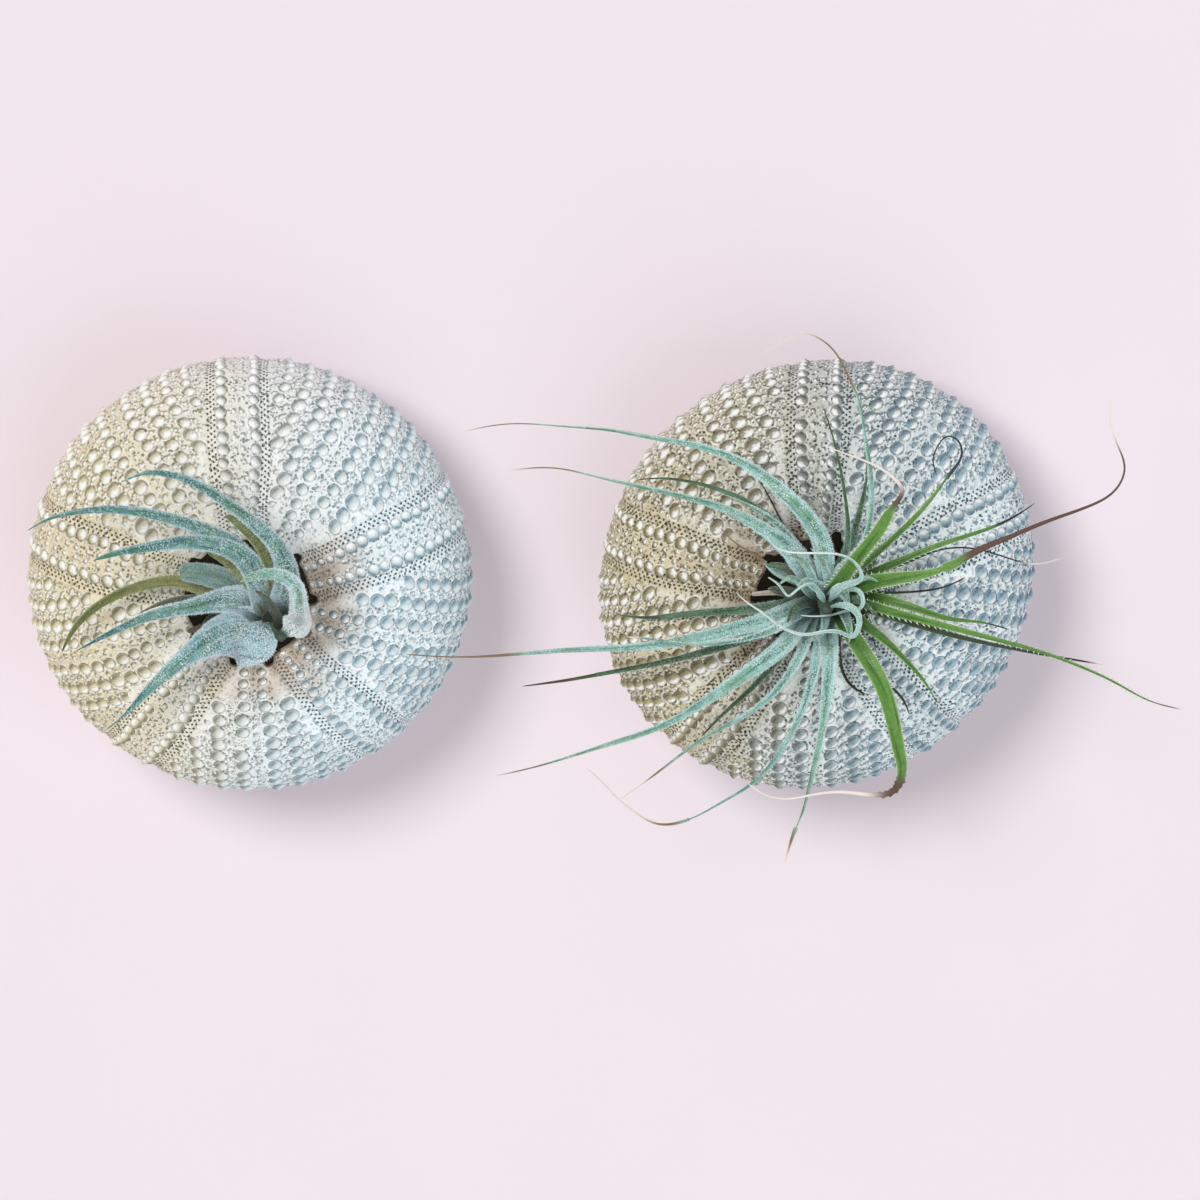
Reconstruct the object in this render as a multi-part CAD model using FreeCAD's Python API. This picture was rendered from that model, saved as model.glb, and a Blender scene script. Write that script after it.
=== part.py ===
"""Two dried sea urchin shells, each standing mouth up and holding an air plant that lifts out.

Lengths are in millimetres and +Z is up. The origin is on the surface that the shells stand on,
under the middle of the whole set.
"""

import FreeCAD, Part

import math
import os
from collections import namedtuple

from FreeCAD import Rotation, Vector

# Shells: round, domed tests with a wide mouth on top and a small hole at the apex underneath.
left_diameter = 80.5
left_upper_height = 19.0
left_lower_height = 21.0
left_mouth_radius = 11.5
right_diameter = 78.8
right_upper_height = 18.6
right_lower_height = 20.6
right_mouth_radius = 10.4
right_oval_share = 0.037
right_oval_heading_deg = 45.0
wall = 1.5
lip_dip = 1.6
lip_dip_spread = 4.5
apex_hole_radius = 2.2
foot_depth = 0.45
notch_radius = 1.1
roundness_power = 2.4
profile_steps = 9

# The gill notches of the mouth come in five pairs, one pair to each broad column of plates.
fold_count = 5
notch_half_angle_deg = 15.0

# How the two shells stand: turned so that a broad column points this way, and leaning a little.
left_turn_deg = -87.0
left_lean_deg = 0.0
right_turn_deg = -88.0
right_lean_deg = 5.0
right_lean_toward_deg = 118.0
gap_between_shells = 22.3
set_shift_x = -11.9
set_shift_y = -3.4

# Plants: a short woody stem in the mouth carries the leaves in tiers, the lowest outermost.
stem_radius = 3.1
stem_tip_radius = 0.9
stem_tail = 9.5
stem_tail_radius = 1.9
root_radius = 0.35
root_length = 8.0
root_spread = 1.4
root_count = 4
seat_gap = 0.3
left_base_depth = 7.0
right_base_depth = 4.0
left_tier_pitch = 1.5
right_tier_pitch = 1.4
left_tier_count = 11
right_tier_count = 13
left_fan_share = 0.5
right_fan_share = 1.2
left_crown_shares = (0.152, -0.096)
right_crown_shares = (0.063, 0.005)
edge_share = 0.74

# Leaves: channelled blades, some ending in a dry thread.
leaf_width = 4.0
leaf_thickness = 0.75
thread_width = 0.5
channel_share = 0.2
base_width_share = 0.45
widening_share = 0.15
thinnest_share = 0.8
leaf_sections = 18

# The photograph looks down, this far off the vertical, and its marks are read in these pixels.
view_lean_deg = 16.6
left_radius_px = 223.5
left_mouth_px = (250.0, 600.5)
right_radius_px = 219.0
right_mouth_px = (812.3, 593.0)

# Each leaf: tier, width as a share of leaf_width, taper power, share of its length that is blade,
# share of the shell's radius that it rises past the shell's edge, thickness as a share of
# leaf_thickness, then the marks that its middle passes over in the photograph.
Leaf = namedtuple("Leaf", "tier width_share taper blade_share lift_share thick_share marks_px")

left_leaves = [
    Leaf(0, 0.80, 0.3, 1.0, 0, 0.7, [(262, 622), (245, 623), (232, 624), (208, 627), (190, 632)]),
    Leaf(1, 0.70, 0.6, 1.0, 0, 1.0, [(262, 612), (240, 602), (215, 598), (190, 597), (165, 602), (141, 613)]),
    Leaf(2, 0.90, 0.6, 1.0, 0, 1.2,
         [(262, 608), (240, 597), (215, 588), (180, 580), (145, 586), (112, 600), (85, 620), (70, 640), (64, 652)]),
    Leaf(3.2, 1.00, 0.15, 1.0, 0, 2.4, [(266, 604), (250, 590), (225, 578), (205, 574), (184, 573)]),
    Leaf(3.2, 1.70, 1.2, 1.0, 0, 2.2,
         [(262, 632), (245, 630), (228, 633), (203, 647), (175, 668), (150, 690), (128, 713), (108, 730)]),
    Leaf(5.5, 0.90, 0.75, 1.0, 0, 1.2,
         [(270, 598), (258, 568), (240, 546), (212, 531), (175, 520), (130, 512), (85, 512), (50, 521), (33, 531)]),
    Leaf(4.6, 0.98, 0.8, 1.0, 0, 1.3,
         [(262, 606), (250, 600), (235, 598), (200, 605), (160, 615), (120, 631), (80, 650)]),
    Leaf(6.4, 1.00, 0.55, 1.0, 0, 1.2,
         [(270, 596), (259, 572), (245, 556), (222, 546), (190, 542), (155, 546), (125, 552), (100, 561)]),
    Leaf(7.3, 1.05, 0.7, 1.0, 0, 1.3,
         [(288, 596), (291, 575), (287, 555), (268, 530), (240, 508), (208, 488), (178, 477), (150, 476), (128, 484)]),
    Leaf(9, 0.45, 0.4, 1.0, 0, 1.2, [(276, 606), (270, 598), (260, 590)]),
    Leaf(10, 0.90, 0.5, 1.0, 0, 1.4,
         [(297, 626), (304, 605), (300, 586), (285, 576), (265, 576), (246, 583)]),
]

right_leaves = [
    Leaf(0.2, 0.22, 0.3, 1.0, 0, 0.7, [(812, 572), (790, 540), (775, 515), (766, 497), (757, 480)]),
    Leaf(0.3, 0.32, 0.2, 1.0, 0, 0.8, [(832, 615), (838, 640), (840, 665), (848, 683), (863, 694)]),
    Leaf(0.5, 0.27, 0.4, 1.0, 0, 0.8,
         [(852, 592), (875, 593), (900, 593), (925, 591), (945, 586), (962, 577)]),
    Leaf(0, 1.00, 0.7, 1.0, 0, 1.0,
         [(802, 598), (765, 606), (720, 611), (680, 615), (645, 617), (617, 613)]),
    Leaf(1, 0.63, 0.5, 1.0, 0, 1.0, [(808, 616), (780, 655), (750, 688), (722, 712), (700, 735)]),
    Leaf(1, 0.63, 0.6, 1.0, 0, 1.0,
         [(808, 570), (785, 535), (755, 507), (722, 491), (690, 483), (660, 480), (637, 481)]),
    Leaf(1, 0.45, 0.4, 1.0, 0, 0.9, [(840, 618), (855, 643), (870, 665), (885, 683), (900, 697), (908, 713)]),
    Leaf(1, 0.54, 0.1, 1.0, 0, 0.7, [(800, 590), (780, 591), (765, 592), (750, 594)]),
    Leaf(1, 0.18, 0.3, 1.0, 0, 0.7,
         [(850, 581), (875, 572), (905, 561), (938, 550), (972, 550), (1003, 558), (1035, 563), (1058, 557)]),
    Leaf(2, 0.90, 0.8, 1.0, 0, 1.0, [(848, 612), (865, 626), (882, 640), (902, 660), (920, 680), (935, 702)]),
    Leaf(2, 0.63, 0.6, 0.72, 0, 1.0,
         [(820, 618), (812, 665), (798, 715), (779, 752), (752, 781), (718, 802), (685, 820), (656, 824),
          (633, 812), (612, 793), (598, 777), (587, 767)]),
    Leaf(2, 0.63, 0.5, 1.0, 0, 1.0,
         [(803, 606), (765, 630), (720, 647), (670, 659), (620, 669), (570, 680), (522, 686)]),
    Leaf(2, 0.72, 0.5, 0.55, 0, 1.0,
         [(803, 583), (785, 578), (768, 569), (757, 558), (745, 550), (732, 541), (720, 528)]),
    Leaf(2, 0.90, 0.8, 1.0, 0, 1.0, [(838, 566), (850, 540), (858, 512), (863, 485), (863, 460)]),
    Leaf(3, 1.00, 0.7, 1.0, 0, 1.0, [(810, 570), (788, 538), (765, 517), (745, 506), (722, 496)]),
    Leaf(3, 0.68, 0.8, 1.0, 0, 1.0,
         [(812, 618), (798, 655), (772, 692), (735, 718), (703, 736), (678, 755), (650, 778), (620, 799)]),
    Leaf(3, 0.63, 0.5, 1.0, 0, 1.0, [(850, 580), (880, 568), (925, 550), (970, 534), (1003, 520), (1030, 503)]),
    Leaf(3, 0.59, 0.5, 1.0, 0, 1.0,
         [(852, 602), (900, 620), (950, 634), (1000, 645), (1050, 656), (1102, 665)]),
    Leaf(4, 1.08, 1.0, 1.0, 0, 1.0,
         [(806, 612), (785, 640), (752, 669), (710, 697), (665, 722), (610, 743), (555, 761), (495, 774)]),
    Leaf(4, 0.41, 0.6, 1.0, 0, 1.0, [(838, 568), (843, 545), (843, 510), (838, 470), (828, 430), (815, 397)]),
    Leaf(4, 1.08, 0.9, 1.0, 0, 1.0, [(852, 595), (885, 600), (915, 610), (945, 619), (980, 622), (1005, 628)]),
    Leaf(5, 1.20, 1.2, 1.0, 0, 1.0,
         [(806, 574), (790, 550), (765, 531), (735, 515), (695, 501), (650, 489), (600, 478), (555, 470),
          (510, 472)]),
    Leaf(5, 1.17, 1.1, 1.0, 0.55, 1.0,
         [(802, 602), (775, 615), (740, 626), (695, 637), (645, 644), (590, 648), (530, 653), (470, 655),
          (408, 653)]),
    Leaf(5, 1.08, 0.75, 0.88, 0, 1.0,
         [(826, 618), (828, 660), (823, 700), (816, 742), (808, 782), (800, 815), (793, 832), (784, 862)]),
    Leaf(5, 0.68, 0.75, 1.0, 0, 1.0,
         [(852, 600), (890, 612), (940, 625), (990, 637), (1035, 650), (1075, 666), (1112, 683), (1145, 699),
          (1177, 707)]),
    Leaf(5, 0.81, 0.5, 0.66, 0, 1.0,
         [(846, 575), (868, 557), (897, 530), (925, 500), (947, 473), (957, 458), (954, 442), (943, 437),
          (933, 446), (928, 462), (932, 476)]),
    Leaf(6.6, 1.08, 1.15, 1.0, 0, 1.0,
         [(822, 568), (818, 545), (803, 518), (775, 488), (742, 464), (700, 449), (655, 441), (610, 432),
          (560, 427), (510, 426), (465, 434)]),
    Leaf(6, 0.54, 0.4, 1.0, 0, 1.0,
         [(806, 608), (785, 622), (760, 633), (725, 640), (690, 642), (655, 639), (625, 637)]),
    Leaf(6, 0.90, 0.25, 0.56, 0, 1.0,
         [(838, 616), (858, 650), (877, 683), (889, 717), (897, 750), (899, 773), (890, 789), (868, 792),
          (842, 789), (815, 791), (780, 797), (762, 793), (745, 782)]),
    Leaf(6, 1.35, 0.45, 0.33, 0, 1.0,
         [(853, 586), (885, 579), (915, 574), (945, 565), (968, 553), (1000, 540), (1045, 521), (1085, 505),
          (1108, 490), (1117, 470), (1111, 447), (1104, 422), (1105, 398)]),
    Leaf(7.3, 0.63, 0.4, 0.62, 0, 1.0,
         [(838, 568), (858, 545), (867, 510), (867, 475), (861, 440), (852, 400), (843, 380), (833, 360),
          (818, 344), (800, 337), (778, 345), (757, 357)]),
    Leaf(8.2, 1.00, 0.12, 0.55, 0, 1.0,
         [(842, 572), (860, 550), (876, 530), (890, 506), (897, 493), (888, 480), (865, 466), (842, 457),
          (820, 448)]),
    Leaf(9.5, 0.25, 0.3, 1.0, 0, 0.7,
         [(846, 589), (856, 593), (858, 602), (846, 609), (830, 614), (812, 616), (797, 615)]),
    Leaf(10.3, 0.25, 0.3, 1.0, 0, 0.7,
         [(845, 584), (857, 577), (852, 565), (840, 557), (820, 554), (790, 553), (772, 547), (764, 536)]),
    Leaf(11.1, 0.25, 0.3, 1.0, 0, 0.7, [(815, 590), (806, 584), (796, 589), (787, 596), (777, 587), (765, 577)]),
    Leaf(11.9, 0.25, 0.3, 1.0, 0, 0.7,
         [(846, 606), (855, 620), (850, 634), (838, 631), (820, 630), (803, 633), (780, 627), (758, 612),
          (742, 601), (733, 592)]),
]

Holder = namedtuple(
    "Holder",
    "name radius upper lower mouth oval turn lean lean_toward centre crown base_depth pitch tiers fan"
    " mouth_px px_radius leaves",
)


def upper_height(holder, r):
    """Height of the outer surface over the widest place, at a distance r from the axis."""
    dome = holder.upper * (1 - (r / holder.radius) ** roundness_power) ** (1 / roundness_power)
    return dome - lip_dip * math.exp(-(((r - holder.mouth) / lip_dip_spread) ** 2))


def oval_matrix(oval):
    """Stretches a round shell's plan by a share along one heading, and narrows it across."""
    share, heading = oval
    c, s = math.cos(2 * math.radians(heading)), math.sin(2 * math.radians(heading))
    return FreeCAD.Matrix(1 + share * c, share * s, 0, 0, share * s, 1 - share * c, 0, 0)


def from_axis(holder, x, y):
    """Distance from the axis in the round shell that the oval one is stretched from."""
    if not holder.oval[0]:
        return math.hypot(x, y)
    back = oval_matrix(holder.oval).inverse().multVec(Vector(x, y, 0))
    return back.Length


def lean_rotation(holder):
    """The rotation that leans the upright shell towards its lean heading."""
    heading = math.radians(holder.lean_toward)
    return Rotation(Vector(-math.sin(heading), math.cos(heading), 0), holder.lean)


def profile_angles(holder):
    """Angles of the profile's points, from the mouth's lip (positive) to the apex hole (negative)."""
    start = math.acos((holder.mouth / holder.radius) ** (roundness_power / 2))
    end = math.acos((apex_hole_radius / holder.radius) ** (roundness_power / 2))
    above = [start * (1 - i / profile_steps) for i in range(profile_steps)]
    return above + [-end * i / profile_steps for i in range(profile_steps + 1)]


def profile_point(holder, angle):
    """A point of the outer profile in the XZ plane."""
    r = holder.radius * abs(math.cos(angle)) ** (2 / roundness_power)
    if angle > 0:
        return Vector(r, 0, upper_height(holder, r))
    return Vector(r, 0, -holder.lower * abs(math.sin(angle)) ** (2 / roundness_power))


def centre_height(radius, lower, lean):
    """How high the widest place's centre is, for a leaning shell that stands on a small flat."""
    tilt = math.radians(lean)
    steps = [math.pi / 2 * i / 400 for i in range(401)]
    reach = max(
        radius * math.cos(a) ** (2 / roundness_power) * math.sin(tilt)
        + lower * math.sin(a) ** (2 / roundness_power) * math.cos(tilt)
        for a in steps
    )
    return reach - foot_depth


def smooth_edge(points):
    """One smooth edge through the points."""
    curve = Part.BSplineCurve()
    curve.interpolate(points)
    return curve


def shell(holder):
    """The hollow test, revolved, with its notched mouth and apex hole, standing on a small flat."""
    outer = smooth_edge([profile_point(holder, a) for a in profile_angles(holder)])
    inner_points = []
    steps = 2 * profile_steps
    for i in range(steps + 1):
        u = outer.FirstParameter + (outer.LastParameter - outer.FirstParameter) * i / steps
        tangent = outer.tangent(u)[0]
        inward = Vector(tangent.z, 0, -tangent.x)
        inner_points.append(outer.value(u) + inward * wall)
    inner = smooth_edge(inner_points)
    lip_outer, lip_inner = outer.value(outer.FirstParameter), inner_points[0]
    lip_out = outer.tangent(outer.FirstParameter)[0] * (-wall / 2)
    lip = Part.Arc(lip_inner, (lip_outer + lip_inner) * 0.5 + lip_out, lip_outer)
    apex = Part.LineSegment(outer.value(outer.LastParameter), inner_points[-1])
    edges = [lip.toShape(), outer.toShape(), apex.toShape(), inner.toShape()]
    body = Part.Face(Part.Wire(Part.__sortEdges__(edges))).revolve(Vector(), Vector(0, 0, 1), 360)
    if holder.oval[0]:
        body = body.transformGeometry(oval_matrix(holder.oval))
    body = body.cut(mouth_notches(holder))
    body = place(holder, body)
    under = Part.makeBox(4 * holder.radius, 4 * holder.radius, holder.lower)
    under.translate(holder.centre + Vector(-2 * holder.radius, -2 * holder.radius, 0))
    under.translate(Vector(0, 0, -holder.centre.z - holder.lower))
    return body.cut(under)


def mouth_notches(holder):
    """Ten upright cutters at the mouth's rim, in five pairs."""
    cutters = []
    for fold in range(fold_count):
        for side in (-1, 1):
            angle = math.radians(holder.turn + 360 * fold / fold_count + side * notch_half_angle_deg)
            foot = Vector(math.cos(angle), math.sin(angle), 0) * holder.mouth
            cutters.append(Part.makeCylinder(notch_radius, holder.upper, foot, Vector(0, 0, 1)))
    return Part.makeCompound(cutters)


def place(holder, shape):
    """Carries a shape from the upright shell's own frame to where the holder stands."""
    placed = shape.copy()
    placed.Placement = FreeCAD.Placement(holder.centre, lean_rotation(holder)).multiply(placed.Placement)
    return placed


def seat_height(holder, x, y):
    """Height that a leaf's underside could have if it lay on the shell and dipped into the mouth."""
    out = from_axis(holder, x, y)
    from_stem = math.hypot(x - holder.crown.x, y - holder.crown.y)
    edge = edge_share * holder.radius
    if out > edge:
        step = (holder.radius - edge) / 10
        slope = (upper_height(holder, edge) - upper_height(holder, edge - step)) / step
        surface = upper_height(holder, edge) + slope * (out - edge)
    else:
        surface = upper_height(holder, max(out, holder.mouth))
    past_stem = max(from_stem - stem_radius, 0)
    to_rim = max(holder.mouth - out, 0)
    way_out = past_stem / (past_stem + to_rim) if past_stem + to_rim > 0 else 1
    return surface + seat_gap - holder.base_depth * (1 - way_out) ** 1.5


def belly_depth(leaf):
    """How far the underside of a leaf lies below its middle where the leaf is widest."""
    channel = channel_share * (leaf.width_share * leaf_width - thread_width)
    return (channel + leaf_thickness * leaf.thick_share) / 2


def leaf_height(holder, leaf, x, y):
    """Height of a leaf's middle. Tiers lie over each other and fan apart outwards."""
    from_stem = math.hypot(x - holder.crown.x, y - holder.crown.y) / holder.radius
    fanned = leaf.tier * holder.pitch * (1 + holder.fan * from_stem)
    lifted = leaf.lift_share * holder.radius * max(from_stem - 1, 0)
    return seat_height(holder, x, y) + belly_depth(leaf) + fanned + lifted


def local_place(holder, leaf, mark_px):
    """The point of the shell's own frame, on the leaf's tier, that the photograph shows at a mark."""
    lean = lean_rotation(holder)
    view = math.radians(view_lean_deg)
    up = Vector(0, math.cos(view), -math.sin(view))
    right = Vector(1, 0, 0)
    axes = [lean.multVec(v) for v in (Vector(1, 0, 0), Vector(0, 1, 0), Vector(0, 0, 1))]
    rim = Vector(0, 0, upper_height(holder, holder.mouth))
    scale = holder.radius / holder.px_radius
    across = (mark_px[0] - holder.mouth_px[0]) * scale
    upward = (holder.mouth_px[1] - mark_px[1]) * scale
    a, b = axes[0].dot(right), axes[1].dot(right)
    c, d = axes[0].dot(up), axes[1].dot(up)
    x, y, z = 0.0, 0.0, rim.z
    for _ in range(12):
        over_rim = z - rim.z
        s, t = across - axes[2].dot(right) * over_rim, upward - axes[2].dot(up) * over_rim
        x, y = (s * d - b * t) / (a * d - b * c), (a * t - c * s) / (a * d - b * c)
        z = leaf_height(holder, leaf, x, y)
    return Vector(x, y, z)


def stem_radius_at(holder, tier):
    """The stem tapers from its lowest tier of leaves to its tip."""
    return stem_radius + (stem_tip_radius - stem_radius) * tier / holder.tiers


def stem_height_at(holder, tier):
    """Height of the stem where a tier of leaves grows from it."""
    start = upper_height(holder, holder.mouth) + leaf_thickness - holder.base_depth
    return start + tier * holder.pitch


def leaf_path(holder, leaf):
    """A smooth curve from inside the stem, through the leaf's marks, to its tip."""
    places = [local_place(holder, leaf, mark) for mark in leaf.marks_px]
    toward = Vector(places[0].x - holder.crown.x, places[0].y - holder.crown.y, 0).normalize()
    root = holder.crown + toward * (stem_radius_at(holder, leaf.tier) - leaf_thickness)
    root.z = stem_height_at(holder, leaf.tier)
    return smooth_edge([root] + places)


def blade_width(leaf, share):
    """Width along a leaf: a narrow base, a taper, and a thread past the blade's end."""
    full = leaf.width_share * leaf_width
    along = min(share / leaf.blade_share, 1)
    widen = base_width_share + (1 - base_width_share) * min(along / widening_share, 1)
    return max(full * widen * (1 - along) ** leaf.taper, thread_width)


def leaf_section(centre, along, width, thickness):
    """A crescent across the leaf: its edges stand up and its middle is the channel."""
    side = Vector(-along.y, along.x, 0).normalize()
    over = along.cross(side).normalize()
    if over.z < 0:
        over = over * -1
    depth = channel_share * (width - thread_width)
    edge_a = centre - side * (width / 2) + over * (depth / 2)
    edge_b = centre + side * (width / 2) + over * (depth / 2)
    # A curve with three poles passes half as far from its chord as its middle pole does.
    belly = centre - over * (1.5 * depth + thickness)
    hollow = centre - over * (1.5 * depth - thickness)
    lower, upper = Part.BezierCurve(), Part.BezierCurve()
    lower.setPoles([edge_a, belly, edge_b])
    upper.setPoles([edge_b, hollow, edge_a])
    return Part.Wire([lower.toShape(), upper.toShape()])


def leaf_solid(holder, leaf):
    """One leaf, lofted along its path and cut where it sits on the stem."""
    path = leaf_path(holder, leaf)
    wires = []
    for i in range(leaf_sections + 1):
        share = i / leaf_sections
        u = path.parameterAtDistance(share * path.length(), path.FirstParameter)
        width = blade_width(leaf, share)
        thickness = min(leaf_thickness * leaf.thick_share, thinnest_share * width)
        wires.append(leaf_section(path.value(u), path.tangent(u)[0], width, thickness))
    return Part.makeLoft(wires, True, False)


def stem_solid(holder):
    """The woody stem: a tail inside the shell, a shoulder, then a taper through the leaf tiers."""
    low, high = stem_height_at(holder, 0), stem_height_at(holder, holder.tiers)
    outline = [
        Vector(0, 0, low - stem_tail),
        Vector(stem_tail_radius, 0, low - stem_tail),
        Vector(stem_radius, 0, low - stem_radius),
        Vector(stem_radius, 0, low),
        Vector(stem_tip_radius, 0, high),
        Vector(0, 0, high),
    ]
    body = Part.Face(Part.makePolygon(outline + outline[:1])).revolve(Vector(), Vector(0, 0, 1), 360)
    body.translate(Vector(holder.crown.x, holder.crown.y, 0))
    return body


def root_solids(holder, stem):
    """Short wiry roots that hang from the stem's tail, no wider apart than the stem."""
    tail = stem_height_at(holder, 0) - stem_tail
    roots = []
    for i in range(root_count):
        angle = 2 * math.pi * (i + 0.5) / root_count
        out = Vector(math.cos(angle), math.sin(angle), 0)
        start = Vector(holder.crown.x, holder.crown.y, tail) + out * (stem_tail_radius / 2)
        bend = start + out * root_spread - Vector(0, 0, root_length / 2)
        end = start + out * (root_spread / 2) - Vector(0, 0, root_length)
        path = smooth_edge([start, bend, end])
        circle = Part.Wire(Part.Circle(start, path.tangent(path.FirstParameter)[0], root_radius).toShape())
        roots.append(Part.Wire(path.toShape()).makePipeShell([circle], True, False).cut(stem))
    return roots


def holders():
    """The two holders, side by side."""
    left_radius, right_radius = left_diameter / 2, right_diameter / 2
    left_centre = Vector(
        set_shift_x - gap_between_shells / 2 - left_radius,
        set_shift_y,
        centre_height(left_radius, left_lower_height, left_lean_deg),
    )
    right_centre = Vector(
        set_shift_x + gap_between_shells / 2 + right_radius,
        set_shift_y,
        centre_height(right_radius, right_lower_height, right_lean_deg),
    )
    left_crown = Vector(*left_crown_shares, 0) * left_radius
    right_crown = Vector(*right_crown_shares, 0) * right_radius
    return [
        Holder("left", left_radius, left_upper_height, left_lower_height, left_mouth_radius, (0, 0),
               left_turn_deg, left_lean_deg, 0.0, left_centre, left_crown, left_base_depth, left_tier_pitch,
               left_tier_count, left_fan_share, left_mouth_px, left_radius_px, left_leaves),
        Holder("right", right_radius, right_upper_height, right_lower_height, right_mouth_radius,
               (right_oval_share, right_oval_heading_deg), right_turn_deg, right_lean_deg,
               right_lean_toward_deg, right_centre, right_crown,
               right_base_depth, right_tier_pitch, right_tier_count, right_fan_share, right_mouth_px,
               right_radius_px, right_leaves),
    ]


def save(shape, node):
    """Writes one piece, or one group of like pieces, to its own file."""
    shape.exportStep(os.path.join("parts", node + ".step"))


def main():
    os.makedirs("parts", exist_ok=True)
    for holder in holders():
        save(shell(holder), holder.name + "_shell")
        stem = stem_solid(holder)
        save(place(holder, stem), holder.name + "_stem")
        save(place(holder, Part.makeCompound(root_solids(holder, stem))), holder.name + "_roots")
        for i, leaf in enumerate(holder.leaves, start=1):
            solid = leaf_solid(holder, leaf).cut(stem)
            save(place(holder, solid), f"{holder.name}_leaf_{i:02d}")


if __name__ == "__main__":
    main()
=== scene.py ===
import math
from collections import namedtuple

import bpy
import numpy as np
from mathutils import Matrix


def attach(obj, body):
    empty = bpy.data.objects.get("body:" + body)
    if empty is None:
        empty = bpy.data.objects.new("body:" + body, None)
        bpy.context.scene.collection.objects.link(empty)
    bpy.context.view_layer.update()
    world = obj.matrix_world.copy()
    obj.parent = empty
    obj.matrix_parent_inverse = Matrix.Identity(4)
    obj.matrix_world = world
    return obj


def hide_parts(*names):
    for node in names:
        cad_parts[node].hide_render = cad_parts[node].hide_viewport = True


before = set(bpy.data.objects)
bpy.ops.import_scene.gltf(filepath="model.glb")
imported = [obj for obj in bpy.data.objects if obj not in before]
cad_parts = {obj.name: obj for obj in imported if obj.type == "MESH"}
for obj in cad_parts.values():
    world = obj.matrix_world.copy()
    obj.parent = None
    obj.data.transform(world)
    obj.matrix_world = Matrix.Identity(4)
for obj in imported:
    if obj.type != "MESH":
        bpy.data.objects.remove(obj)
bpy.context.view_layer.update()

# The two tests: the dried, hollow, brittle shells of sea urchins, standing mouth up.
# Each is one grown shell of chalky calcite. Its surface, from the notched mouth down to the small hole at
# the apex, is set with rows of round tubercles, fine granules and five double bands of pores.
mm = 0.001
wall = 1.5
lip_dip = 1.6
lip_dip_spread = 4.5
apex_hole_radius = 2.2
# A thin dark sheet closes the apex hole, as painted shade over the floor under the shell.
shade_sheet_overlap = 0.35
shade_sheet_thickness = 0.2
shade_sheet_sag = 0.25
shade_sheet_height = 0.9
coarse_wrinkle = 0.06
fine_wrinkle = 0.05
foot_depth = 0.45
roundness_power = 2.4
fold_count = 5
notch_half_angle_deg = 15.0
notch_depth = 1.25
notch_half_width = 0.95
notch_reach = 5.0
gap_between_shells = 22.3
set_shift_x = -11.9
set_shift_y = -3.4
right_rise = 20.625

# Large primes that scatter a cell's three numbers and the seed, and smaller ones for its three offsets.
hash_factors = (73856093, 19349663, 83492791, 2654435761)
spot_factors = (1, 7919, 104729)

Shell = namedtuple(
    "Shell", "name radius upper lower mouth oval oval_heading turn lean lean_toward centre seed"
)
left_radius = 80.5 / 2
right_radius = 78.8 / 2
shells = [
    Shell("left", left_radius, 19.0, 21.0, 11.5, 0.0, 0.0, -87.0, 0.0, 0.0,
          (set_shift_x - gap_between_shells / 2 - left_radius, set_shift_y, 21.0 - foot_depth), 11),
    Shell("right", right_radius, 18.6, 20.6, 10.4, 0.037, 45.0, -88.0, 5.0, 118.0,
          (set_shift_x + gap_between_shells / 2 + right_radius, set_shift_y, right_rise), 12),
]


def smooth_step(t):
    """0 below 0, 1 above 1, and between them 3t^2 - 2t^3."""
    t = np.clip(t, 0, 1)
    return t * t * (3 - 2 * t)


def upper_height(shell, r):
    """Height over the widest place: a superellipse dome, less a bell-shaped dip round the mouth."""
    dome = shell.upper * (1 - np.clip(r / shell.radius, 0, 1) ** roundness_power) ** (1 / roundness_power)
    return dome - lip_dip * np.exp(-(((r - shell.mouth) / lip_dip_spread) ** 2))


def outer_profile(shell, points=4000):
    """Radius, height and arc length of the profile, for even steps of the superellipse's angle."""
    start = np.arccos((shell.mouth / shell.radius) ** (roundness_power / 2))
    end = np.arccos((apex_hole_radius / shell.radius) ** (roundness_power / 2))
    angle = np.linspace(start, -end, points)
    r = shell.radius * np.abs(np.cos(angle)) ** (2 / roundness_power)
    below = -shell.lower * np.abs(np.sin(angle)) ** (2 / roundness_power)
    z = np.where(angle > 0, upper_height(shell, r), below)
    arc = np.concatenate([[0], np.cumsum(np.hypot(np.diff(r), np.diff(z)))])
    return r, z, arc


def placed(shell, points):
    """Leans points of the upright shell's frame towards its heading (Rodrigues) and moves them into place."""
    heading, tilt = math.radians(shell.lean_toward), math.radians(shell.lean)
    axis = np.array([-math.sin(heading), math.cos(heading), 0.0])
    turned = points * math.cos(tilt) + np.cross(axis, points) * math.sin(tilt)
    turned = turned + axis * (points @ axis)[..., None] * (1 - math.cos(tilt))
    return turned + np.array(shell.centre)


def oval_plan(shell, x, y):
    """Stretches the plan by a share along one heading and narrows it as much across."""
    c = math.cos(2 * math.radians(shell.oval_heading))
    s = math.sin(2 * math.radians(shell.oval_heading))
    e = shell.oval
    return (1 + e * c) * x + e * s * y, e * s * x + (1 - e * c) * y


def cell_bumps(points, cell, seed):
    """Cellular noise: the distance, in cells, to the nearest of one jittered seed per cubic cell."""
    at = points / cell
    base = np.floor(at).astype(np.int64)
    nearest = np.full(at.shape[:-1], 9.0)
    for step in np.ndindex(3, 3, 3):
        corner = base + np.array(step) - 1
        mixed = np.bitwise_xor.reduce(corner * hash_factors[:3], axis=-1) ^ seed * hash_factors[3]
        spot = np.stack([(mixed * k >> 11 & 1023) / 1023 for k in spot_factors], -1)
        nearest = np.minimum(nearest, np.linalg.norm(corner + 0.15 + 0.7 * spot - at, axis=-1))
    return nearest


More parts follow.
